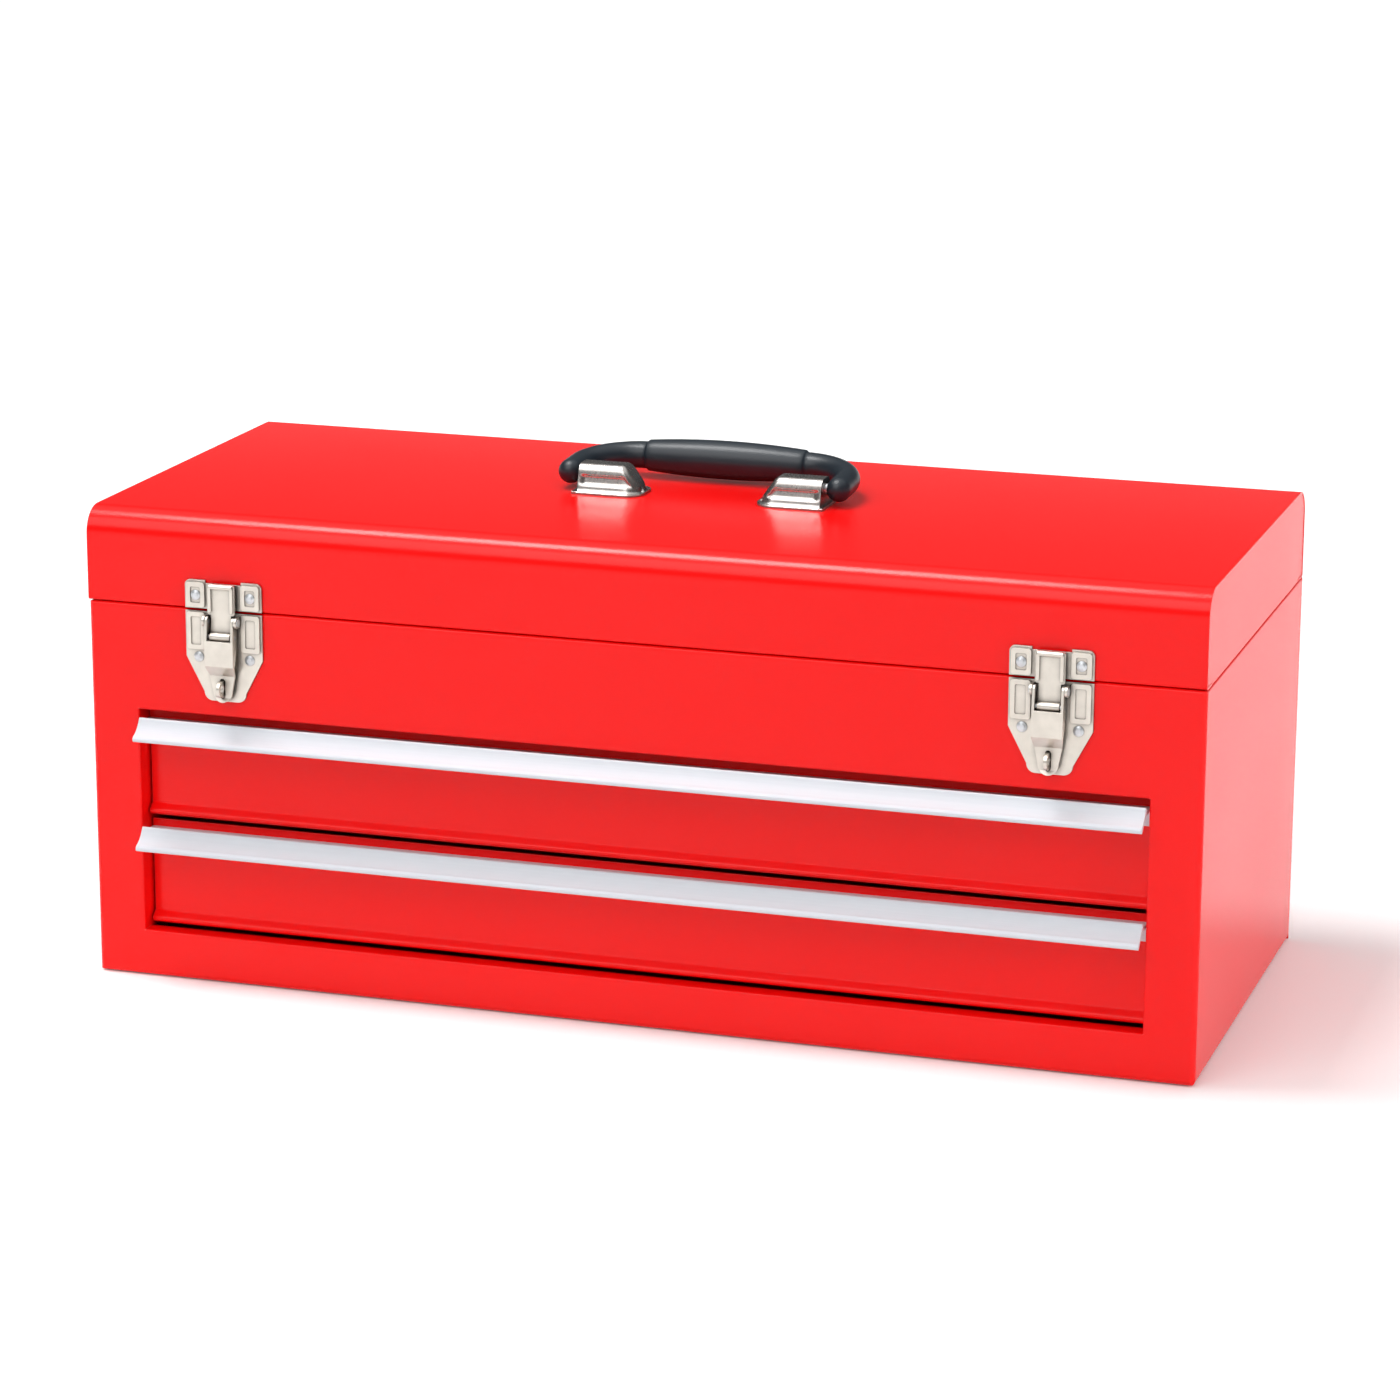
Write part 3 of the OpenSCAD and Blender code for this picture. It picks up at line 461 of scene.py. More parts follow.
@dataclass(frozen=True)
class Anodised:
    """Satin anodised aluminium with its extrusion lines along X."""

    name: str
    colour: Colour
    shade: Colour
    roughness: float = 0.58
    metal: float = 0.2
    edge: float = 0.3
    fine: Point3 = (5.0, 1500.0, 1500.0)
    broad: Point3 = (3.0, 260.0, 260.0)

    def material(self) -> bpy.types.Material:
        """Builds the anodised aluminium.

        Returns:
            The material: fine lines along the extrusion.
        """
        tree = ShaderTree(self.name)
        normal, edges = tree.soft_edges(self.edge)
        lines = tree.noise(1.0, 4.0, tree.stretched(self.fine))
        broad = tree.noise(1.0, 2.0, tree.stretched(self.broad))
        tone = (lines * 0.5 + broad * 0.4 - edges * 0.6).clamped()
        return tree.finish(
            Base_Color=tree.mix(tone, self.colour, self.shade),
            Metallic=self.metal,
            Roughness=self.roughness + lines * 0.1,
            Normal=tree.bump(lines, 0.08, 0.03, normal),
        )


@dataclass(frozen=True)
class MouldedPlastic:
    """Black moulded plastic with a fine leathery grain."""

    name: str
    colour: Colour
    worn: Colour
    roughness: float = 0.34
    gloss: float = 0.5
    edge: float = 0.5
    pebbles: float = 900.0
    clouds: float = 60.0

    def material(self) -> bpy.types.Material:
        """Builds the plastic.

        Returns:
            The material: pebbled grain under a soft sheen.
        """
        tree = ShaderTree(self.name)
        normal, edges = tree.soft_edges(self.edge)
        pebble = Value(
            tree,
            tree.node(
                "ShaderNodeTexVoronoi",
                {"feature": "SMOOTH_F1"},
                {"Vector": tree.coords, "Scale": self.pebbles},
            ).outputs["Distance"],
        )
        cloud = tree.noise(self.clouds, 3.0)
        return tree.finish(
            Base_Color=tree.mix(
                (cloud * 0.5 + edges * 0.3).clamped(), self.colour, self.worn
            ),
            Roughness=self.roughness + cloud * 0.08,
            Specular_IOR_Level=self.gloss,
            Normal=tree.bump(pebble, 0.25, 0.08, normal),
        )


class Finishes:
    """Every finish on the box, built once, by material slot."""

    def __init__(self) -> None:
        """Builds the materials."""
        self.by_slot: dict[Slot, bpy.types.Material] = {
            Slot.RED_PAINT: Enamel(
                "red_enamel",
                colour=paint_colour(250, 12, 11),
                deep=paint_colour(240, 9, 9),
                # rim: the painted edge highlight colour.
                rim=paint_colour(255, 110, 106),
            ).material(),
            Slot.DARK_RED_PAINT: Enamel(
                "inner_red_enamel",
                colour=paint_colour(214, 18, 18),
                deep=paint_colour(190, 12, 12),
                # rim: the painted edge highlight colour.
                rim=paint_colour(230, 50, 48),
                roughness=0.34,
            ).material(),
            Slot.ZINC: ZincCoat(
                "bright_zinc",
                bright=(0.72, 0.74, 0.76, 1),
                dull=(0.5, 0.52, 0.55, 1),
            ).material(),
            Slot.NICKEL: Plating(
                "satin_nickel",
                colour=(0.72, 0.67, 0.6, 1),
                shade=(0.05, 0.035, 0.03, 1),
                roughness=0.3,
                reach=3.5,
            ).material(),
            Slot.CHROME: Plating(
                "bright_nickel",
                colour=(0.54, 0.51, 0.485, 1),
                shade=(0.2, 0.185, 0.17, 1),
                roughness=0.2,
                reach=3.0,
                relief=0.03,
            ).material(),
            Slot.ALUMINIUM: Anodised(
                "satin_anodised",
                colour=(0.7, 0.735, 0.77, 1),
                shade=(0.6, 0.64, 0.69, 1),
            ).material(),
            Slot.PLASTIC: MouldedPlastic(
                "black_moulding",
                colour=(0.007, 0.012, 0.018, 1),
                worn=(0.016, 0.027, 0.038, 1),
            ).material(),
        }

    def __getitem__(self, slot: Slot) -> bpy.types.Material:
        """The material of a slot."""
        return self.by_slot[slot]

    def dress_node(self, name: str, slot: Slot) -> None:
        """Gives a CAD node its finish.

        Args:
            name: The node.
            slot: The slot whose finish it takes.
        """
        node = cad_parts[name]
        for place in node.material_slots:
            place.material = self[slot]
        log.info("dressed %s in %s", name, slot.value)


# ---------- Outlines and meshes ----------


def smooth(share: float) -> float:
    """A smooth step from 0 to 1."""
    share = min(max(share, 0.0), 1.0)
    return share * share * (3 - 2 * share)


@dataclass(frozen=True)
class Corner:
    """A corner of an outline in millimetres, with the radius of its bend."""

    y: float
    z: float
    r: float = 0.0


def bent(corners: Sequence[Corner], closed: bool, step: float = 9.0) -> list[Point2]:
    """Rounds the corners of an outline.

    Args:
        corners: The corners in order.
        closed: Whether the last corner joins the first.
        step: Largest angle between two points of a bend, in degrees.

    Returns:
        The points of the rounded outline.
    """
    points: list[Point2] = []
    count = len(corners)
    for i, corner in enumerate(corners):
        here = Vector((corner.y, corner.z))
        if corner.r <= 0 or (not closed and i in (0, count - 1)):
            points.append((here.x, here.y))
            continue
        before, after = corners[i - 1], corners[(i + 1) % count]
        a = (Vector((before.y, before.z)) - here).normalized()
        b = (Vector((after.y, after.z)) - here).normalized()
        half = a.angle(b) / 2
        middle = here + (a + b).normalized() * corner.r / math.sin(half)
        start = here + a * corner.r / math.tan(half) - middle
        end = here + b * corner.r / math.tan(half) - middle
        turn = math.atan2(
            start.x * end.y - start.y * end.x, start.x * end.x + start.y * end.y
        )
        steps = max(2, math.ceil(abs(math.degrees(turn)) / step))
        for k in range(steps + 1):
            p = Matrix.Rotation(turn * k / steps, 2) @ start + middle
            points.append((p.x, p.y))
    return points


def strip(path: Sequence[Point2], left: float, right: float) -> list[Point2]:
    """Gives a bent line its thickness.

    Args:
        path: The line's points.
        left: How far the metal reaches to the left of the line.
        right: How far it reaches to the right.

    Returns:
        The closed outline.
    """
    sides: tuple[list[Point2], list[Point2]] = ([], [])
    for i, p in enumerate(path):
        into = Vector(p) - Vector(path[i - 1]) if i > 0 else None
        out = Vector(path[i + 1]) - Vector(p) if i < len(path) - 1 else None
        along = ((into or out).normalized() + (out or into).normalized()).normalized()
        widen = 1.0
        if into is not None and out is not None:
            widen = 1 / max(0.5, along.dot(into.normalized()))
        normal = Vector((-along.y, along.x)) * widen
        for side, reach in zip(sides, (left, -right)):
            q = Vector(p) + normal * reach
            side.append((q.x, q.y))
    return sides[0] + sides[1][::-1]


def mesh_object(
    name: str,
    vertices: Sequence[Point3],
    faces: Sequence[Sequence[int]],
    sharp: float = 32.0,
) -> bpy.types.Object:
    """Makes an object from points in millimetres.

    Args:
        name: The object's name.
        vertices: Its points.
        faces: Its faces.
        sharp: Edges that turn by more than this stay sharp, in degrees.

    Returns:
        The object, with its faces outwards.
    """
    mesh = bpy.data.meshes.new(name)
    mesh.from_pydata([Vector(v) * MM for v in vertices], [], faces)
    tidy = bmesh.new()
    tidy.from_mesh(mesh)
    bmesh.ops.remove_doubles(tidy, verts=tidy.verts, dist=1e-7)
    bmesh.ops.recalc_face_normals(tidy, faces=tidy.faces)
    for face in tidy.faces:
        face.smooth = True
    tidy.to_mesh(mesh)
    tidy.free()
    mesh.set_sharp_from_angle(angle=math.radians(sharp))
    piece = bpy.data.objects.new(name, mesh)
    bpy.context.scene.collection.objects.link(piece)
    return piece


def swept(
    name: str, outline: Sequence[Point2], left: float, right: float
) -> bpy.types.Object:
    """Sweeps a closed side-view outline along X.

    Args:
        name: The object's name.
        outline: The outline's points, (y, z) in millimetres.
        left: Where the sweep starts.
        right: Where it ends.

    Returns:
        The closed object.
    """
    count = len(outline)
    vertices = [(x, y, z) for x in (left, right) for y, z in outline]
    faces = [
        (i, (i + 1) % count, count + (i + 1) % count, count + i) for i in range(count)
    ]
    faces += [tuple(range(count)), tuple(range(2 * count - 1, count - 1, -1))]
    return mesh_object(name, vertices, faces)


def joined(name: str, pieces: Sequence[bpy.types.Object]) -> bpy.types.Object:
    """Joins separate meshes that are one piece.

    Args:
        name: The joined object's name.
        pieces: The objects, which are used up.

    Returns:
        The joined object.
    """
    whole = bmesh.new()
    slots: list[bpy.types.Material] = []
    for piece in pieces:
        whole.from_mesh(piece.data)
        for material in piece.data.materials:
            if material not in slots:
                slots.append(material)
    mesh = bpy.data.meshes.new(name)
    whole.to_mesh(mesh)
    whole.free()
    for material in slots:
        mesh.materials.append(material)
    for piece in pieces:
        bpy.data.objects.remove(piece)
    result = bpy.data.objects.new(name, mesh)
    bpy.context.scene.collection.objects.link(result)
    return result


def applied(piece: bpy.types.Object) -> bpy.types.Object:
    """Turns a piece and its modifiers into a plain mesh.

    Args:
        piece: The object, whose modifiers are removed.

    Returns:
        The same object with its finished mesh.
    """
    bpy.context.view_layer.update()
    graph = bpy.context.evaluated_depsgraph_get()
    mesh = bpy.data.meshes.new_from_object(
        piece.evaluated_get(graph), preserve_all_data_layers=True, depsgraph=graph
    )
    piece.modifiers.clear()
    piece.data = mesh
    return piece


@dataclass
class Dresser:
    """Puts finished pieces on their bodies, in their finish."""

    finishes: Finishes

    def place(
        self, piece: bpy.types.Object, body: str, slot: Slot, *nodes: str
    ) -> bpy.types.Object:
        """Finishes a piece and lets it stand for CAD nodes.

        Args:
            piece: The piece.
            body: The CAD body that it rides on.
            slot: The slot whose finish it takes.
            nodes: The CAD nodes that it stands for.

        Returns:
            The piece.
        """
        piece.data.materials.clear()
        piece.data.materials.append(self.finishes[slot])
        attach(piece, body)
        if nodes:
            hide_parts(*nodes)
        log.info("placed %s on %s", piece.name, body)
        return piece


# ---------- Geometry Nodes ----------

HEAD_SIDES = 24


class GeometryTree(NodeTree):
    """A Geometry Nodes tree with named inputs."""

    def __init__(self, name: str) -> None:
        """Makes an empty tree of that name."""
        self.group = bpy.data.node_groups.new(name, "GeometryNodeTree")
        super().__init__(self.group)
        face = self.group.interface
        face.new_socket(
            name="Geometry", in_out="INPUT", socket_type="NodeSocketGeometry"
        )
        face.new_socket(
            name="Geometry", in_out="OUTPUT", socket_type="NodeSocketGeometry"
        )
        self.entry = self.tree.nodes.new("NodeGroupInput")
        self.exit = self.tree.nodes.new("NodeGroupOutput")

    def size(self, name: str, kind: str, default: Any = None) -> Value:
        """Adds a named input.

        Args:
            name: Its name.
            kind: Its socket type.
            default: Its first value, or none.

        Returns:
            The input, for use in the tree.
        """
        socket = self.group.interface.new_socket(
            name=name, in_out="INPUT", socket_type=kind
        )
        if default is not None:
            socket.default_value = default
        return Value(self, self.entry.outputs[name])

    def close(
        self, geometry: bpy.types.NodeSocket, material: Value
    ) -> bpy.types.NodeTree:
        """Ends the tree in Realize Instances and Set Material.

        Args:
            geometry: What the tree has made.
            material: The input that holds the material.

        Returns:
            The finished tree.
        """
        real = self.node(
            "GeometryNodeRealizeInstances", {}, {"Geometry": geometry}
        ).outputs["Geometry"]
        dressed = self.node(
            "GeometryNodeSetMaterial", {}, {"Geometry": real, "Material": material}
        ).outputs["Geometry"]
        self.tree.links.new(dressed, self.exit.inputs["Geometry"])
        return self.group

    def combine(self, **axes: Any) -> bpy.types.NodeSocket:
        """A vector from its X, Y and Z, each a number or a value."""
        return self.node("ShaderNodeCombineXYZ", {}, axes).outputs[0]

    def position(self) -> tuple[Value, Value, Value]:
        """The X, Y and Z of each point's place."""
        place = self.node("GeometryNodeInputPosition").outputs["Position"]
        axes = self.node("ShaderNodeSeparateXYZ", {}, {"Vector": place})
        return tuple(Value(self, axes.outputs[k]) for k in range(3))

    def disc(self, radius: Value, depth: Value, rings: int) -> bpy.types.NodeSocket:
        """Adds a flat disc along Z, whose ends can be domed.

        Args:
            radius: Its radius.
            depth: Its thickness.
            rings: Rings of faces on each end.

        Returns:
            Its mesh.
        """
        return self.node(
            "GeometryNodeMeshCylinder",
            {"fill_type": "TRIANGLE_FAN"},
            {
                "Vertices": HEAD_SIDES,
                "Side Segments": 1,
                "Fill Segments": rings,
                "Radius": radius,
                "Depth": depth,
            },
        ).outputs["Mesh"]

    def raised(
        self, mesh: bpy.types.NodeSocket, lift: Value
    ) -> bpy.types.NodeSocket:
        """Raises each point of a mesh along Z."""
        return self.node(
            "GeometryNodeSetPosition",
            {},
            {"Geometry": mesh, "Offset": self.combine(Z=lift)},
        ).outputs["Geometry"]

    def on_points(
        self, shape: bpy.types.NodeSocket, turn: Value
    ) -> bpy.types.NodeSocket:
        """Puts a shape on each point of the incoming mesh, turned."""
        return self.node(
            "GeometryNodeInstanceOnPoints",
            {},
            {
                "Points": self.entry.outputs["Geometry"],
                "Instance": shape,
                "Rotation": turn,
            },
        ).outputs["Instances"]


def grown(
    name: str,
    points: Sequence[Point3],
    tree: bpy.types.NodeTree,
    sizes: dict[str, Any],
    lines: bool = False,
    attributes: dict[str, Sequence[float]] | None = None,
) -> bpy.types.Object:
    """Grows a plain mesh from points with a Geometry Nodes tree.

    Args:
        name: The object's name.
        points: The points in millimetres.
        tree: The tree.
        sizes: Its inputs by name.
        lines: Whether the points are joined into one line.
        attributes: Numbers that each point carries, by name.

    Returns:
        The object with its realised mesh.
    """
    mesh = bpy.data.meshes.new(name)
    edges = [(i, i + 1) for i in range(len(points) - 1)] if lines else []
    mesh.from_pydata([Vector(p) * MM for p in points], edges, [])
    for key, numbers in (attributes or {}).items():
        mesh.attributes.new(key, "FLOAT", "POINT").data.foreach_set(
            "value", list(numbers)
        )
    piece = bpy.data.objects.new(name, mesh)
    modifier = piece.modifiers.new("grow", "NODES")
    modifier.node_group = tree
    for socket in tree.interface.items_tree:
        if socket.in_out == "INPUT" and socket.name in sizes:
            modifier[socket.identifier] = sizes[socket.name]
    bpy.context.scene.collection.objects.link(piece)
    return applied(piece)


class RivetTree:
    """Rivets on points: a domed head, a shank and a flat tail behind the sheet."""

    SEED = 7
    RIM = 0.3
    TAIL = 0.85

    def __init__(self) -> None:
        """Builds the tree. A rivet's own axis is Z, with its head at the top."""
        t = GeometryTree("rivets")
        head = t.size("Head Radius", "NodeSocketFloat", 0.0023)
        dome = t.size("Head Height", "NodeSocketFloat", 0.0009)
        shank = t.size("Shank Radius", "NodeSocketFloat", 0.0012)
        grip = t.size("Grip", "NodeSocketFloat", 0.002)
        seed = t.size("Seed", "NodeSocketInt", self.SEED)
        turn = t.size("Facing", "NodeSocketVector")
        material = t.size("Material", "NodeSocketMaterial")
        x, y, z = t.position()
        out = (x * x + y * y) / (head * head)
        rim = dome * self.RIM
        top = z.math("GREATER_THAN", z, 0.0)
        lift = top * (dome - rim) * (0.0 - out) + dome * 0.5
        domed = t.raised(t.disc(head, dome, 5), lift)
        rod = self._cylinder(t, shank, grip + dome, (grip - dome) * -0.5)
        tail = self._cylinder(t, head * self.TAIL, dome, 0.0 - grip - dome * 0.5)
        one = t.node("GeometryNodeJoinGeometry")
        for part in (tail, rod, domed):
            t.tree.links.new(part, one.inputs["Geometry"])
        roll = t.node(
            "FunctionNodeRandomValue",
            {"data_type": "FLOAT"},
            {"Min": 0.0, "Max": 6.28, "Seed": seed},
        )
        spin = t.combine(Z=Value(t, roll.outputs["Value"]))
        many = t.on_points(one.outputs["Geometry"], turn)
        many = t.node(
            "GeometryNodeRotateInstances",
            {},
            {"Instances": many, "Rotation": spin, "Local Space": True},
        ).outputs["Instances"]
        self.tree = t.close(many, material)

    @staticmethod
    def _cylinder(
        t: GeometryTree, radius: Value, depth: Value, middle: Value
    ) -> bpy.types.NodeSocket:
        """Adds a cylinder along Z.

        Args:
            t: The tree.
            radius: Its radius.
            depth: Its length.
            middle: The height of its middle.

        Returns:
            Its geometry.
        """
        rod = t.node(
            "GeometryNodeMeshCylinder",
            {},
            {"Vertices": 20, "Radius": radius, "Depth": depth},
        ).outputs["Mesh"]
        return t.node(
            "GeometryNodeTransform",
            {},
            {"Geometry": rod, "Translation": t.combine(Z=middle)},
        ).outputs["Geometry"]


class ScrewTree:
    """Pan-head screws on points, with a cross recess."""

    RIM = 0.35
    SLOT_LENGTH = 1.15
    SLOT_WIDTH = 0.28
    SLOT_HEIGHT = 1.05

    def __init__(self) -> None:
        """Builds the tree. A screw's own axis is Z, with its head at the top."""
        t = GeometryTree("screws")
        head = t.size("Head Radius", "NodeSocketFloat", 0.003)
        dome = t.size("Head Height", "NodeSocketFloat", 0.0018)
        turn = t.size("Facing", "NodeSocketVector")
        material = t.size("Material", "NodeSocketMaterial")
        x, y, z = t.position()
        out = (x * x + y * y) / (head * head)
        top = z.math("GREATER_THAN", z, 0.0)
        lift = dome * 0.5 - top * dome * self.RIM * out
        domed = t.raised(t.disc(head, dome, 4), lift)
        cut = t.node("GeometryNodeMeshBoolean", {"operation": "DIFFERENCE"})
        t.tree.links.new(domed, cut.inputs["Mesh 1"])
        for angle in (0.0, math.pi / 2):
            size = t.combine(
                X=head * self.SLOT_LENGTH, Y=head * self.SLOT_WIDTH, Z=dome
            )
            blade = t.node("GeometryNodeMeshCube", {}, {"Size": size}).outputs["Mesh"]
            blade = t.node(
                "GeometryNodeTransform",
                {},
                {
                    "Geometry": blade,
                    "Translation": t.combine(Z=dome * self.SLOT_HEIGHT),
                    "Rotation": (0.0, 0.0, angle),
                },
            ).outputs["Geometry"]
            t.tree.links.new(blade, cut.inputs["Mesh 2"])
        self.tree = t.close(t.on_points(cut.outputs["Mesh"], turn), material)


class RowTree:
    """Copies of one prototype in a row along X."""

    def __init__(self) -> None:
        """Builds the tree."""
        t = GeometryTree("row")
        one = t.size("Prototype", "NodeSocketObject")
        count = t.size("Count", "NodeSocketInt", 2)
        pitch = t.size("Pitch", "NodeSocketFloat", 0.01)
        start = t.size("Start", "NodeSocketVector")
        material = t.size("Material", "NodeSocketMaterial")
        line = t.node(
            "GeometryNodeMeshLine",
            {"mode": "OFFSET"},
            {"Count": count, "Start Location": start, "Offset": t.combine(X=pitch)},
        ).outputs["Mesh"]
        shape = t.node(
            "GeometryNodeObjectInfo", {"transform_space": "ORIGINAL"}, {"Object": one}
        ).outputs["Geometry"]
        many = t.node(
            "GeometryNodeInstanceOnPoints", {}, {"Points": line, "Instance": shape}
        ).outputs["Instances"]
        self.tree = t.close(many, material)


class BarTree:
    """A round bar along a line whose points carry its radius, with a parting line."""

    RIDGE_SHARPNESS = 60.0

    def __init__(self) -> None:
        """Builds the tree."""
        t = GeometryTree("moulded_bar")
        sides = t.size("Sides", "NodeSocketInt", 48)
        ridge = t.size("Parting Ridge", "NodeSocketFloat", 0.012)
        material = t.size("Material", "NodeSocketMaterial")
        swell = t.node(
            "GeometryNodeInputNamedAttribute",
            {"data_type": "FLOAT"},
            {"Name": "swell"},
        ).outputs["Attribute"]
        line = t.node(
            "GeometryNodeMeshToCurve", {}, {"Mesh": t.entry.outputs["Geometry"]}
        ).outputs["Curve"]
        line = t.node(
            "GeometryNodeSetCurveNormal", {"mode": "Z_UP"}, {"Curve": line}
        ).outputs["Curve"]
        ring = t.node(
            "GeometryNodeCurvePrimitiveCircle", {}, {"Resolution": sides, "Radius": 1.0}
        ).outputs["Curve"]
        across = t.position()[1]
        grow = 1.0 + ridge * ((1.0 - across * across) ** self.RIDGE_SHARPNESS)
        place = t.node("GeometryNodeInputPosition").outputs["Position"]
        scaled = t.node(
            "ShaderNodeVectorMath", {"operation": "SCALE"}, {0: place, "Scale": grow}
        ).outputs["Vector"]
        ring = t.node(
            "GeometryNodeSetPosition", {}, {"Geometry": ring, "Position": scaled}
        ).outputs["Geometry"]
        bar = t.node(
            "GeometryNodeCurveToMesh",
            {},
            {
                "Curve": line,
                "Profile Curve": ring,
                "Scale": swell,
                "Fill Caps": True,
            },
        ).outputs["Mesh"]
        self.tree = t.close(bar, material)


@dataclass
class NodeTrees:
    """The Geometry Nodes trees, built once."""

    rivets: RivetTree = field(default_factory=RivetTree)
    screws: ScrewTree = field(default_factory=ScrewTree)
    row: RowTree = field(default_factory=RowTree)
    bar: BarTree = field(default_factory=BarTree)


class Facing(Enum):
    """Which way a fastener's head faces, as a turn of its own Z axis."""

    FRONT = (math.pi / 2, 0.0, 0.0)
    BACK = (-math.pi / 2, 0.0, 0.0)
    LEFT = (0.0, -math.pi / 2, 0.0)
    RIGHT = (0.0, math.pi / 2, 0.0)


@dataclass
class Fasteners:
    """Makes groups of rivets and screws."""

    dresser: Dresser
    trees: NodeTrees

    def rivets(
        self,
        name: str,
        points: Sequence[Point3],
        facing: Facing,
        grip: float,
        head: float = 2.3,
        dome: float = 0.9,
        shank: float = 1.2,
    ) -> bpy.types.Object:
        """Makes one group of rivets.

        Args:
            name: The group's name.
            points: Where the heads stand, in millimetres.
            facing: Which way the heads face.
            grip: Thickness of what they hold.
            head: Radius of the heads.
            dome: Height of the heads.
            shank: Radius of the shanks.

        Returns:
            The group, as one mesh.
        """
        return grown(
            name,
            points,
            self.trees.rivets.tree,
            {
                "Head Radius": head * MM,
                "Head Height": dome * MM,
                "Shank Radius": shank * MM,
                "Grip": grip * MM,
                "Seed": RivetTree.SEED,
                "Facing": facing.value,
                "Material": self.dresser.finishes[Slot.ZINC],
            },
        )

    def screws(
        self,
        name: str,
        points: Sequence[Point3],
        facing: Facing,
        head: float = 3.0,
        dome: float = 1.8,
    ) -> bpy.types.Object:
        """Makes one group of screws.

        Args:
            name: The group's name.
            points: Where the heads stand, in millimetres.
            facing: Which way the heads face.
            head: Radius of the heads.
            dome: Height of the heads.

        Returns:
            The group, as one mesh.
        """
        return grown(
            name,
            points,
            self.trees.screws.tree,
            {
                "Head Radius": head * MM,
                "Head Height": dome * MM,
                "Facing": facing.value,
                "Material": self.dresser.finishes[Slot.ZINC],
            },
        )


# ---------- Sub-assemblies ----------


@dataclass
class Cabinet:
    """The fixed body with its panels and drawer runners."""

    dresser: Dresser

    def dress(self) -> None:
        """Gives the panels and the runners their finishes."""
        for name in ("body_shell", "back_panel"):
            self.dresser.finishes.dress_node(name, Slot.RED_PAINT)
        for name in ("bottom_panel", "till_floor"):
            self.dresser.finishes.dress_node(name, Slot.DARK_RED_PAINT)
        for level in ("lower", "upper"):
            for side in Side:
                self.dresser.finishes.dress_node(
                    f"runner_{level}_{side.word}", Slot.ZINC
                )


@dataclass
class Lid:
    """The lid: one folded sheet with an end plate on each side."""

    dresser: Dresser
    half_width: float = 254.0
    half_depth: float = 109.0
    seam: float = 174.25
    top: float = 216.0
    sheet: float = 1.0
    crown: float = 12.0
    lip: float = 1.3
    hem: float = 10.0

    def build_skin(self) -> bpy.types.Object:
        """Folds the top, the front and the back.

        Returns:
            The skin.
        """
        d, inner = self.half_depth, self.half_depth - self.hem
        path = bent(
            [
                Corner(-inner, self.seam),
                Corner(-d, self.seam, self.lip),
                Corner(-d, self.top, self.crown),
                Corner(d, self.top, self.crown),
                Corner(d, self.seam, self.lip),
                Corner(inner, self.seam),
            ],
            closed=False,
            step=5.0,
        )
        return swept(
            "lid_skin", strip(path, 0, self.sheet), -self.half_width, self.half_width
        )

    def dress(self) -> None:
        """Places the skin and dresses the end plates."""
        self.dresser.place(self.build_skin(), "lid", Slot.RED_PAINT, "lid_wrap")
        for side in Side:
            self.dresser.finishes.dress_node(f"lid_end_{side.word}", Slot.RED_PAINT)


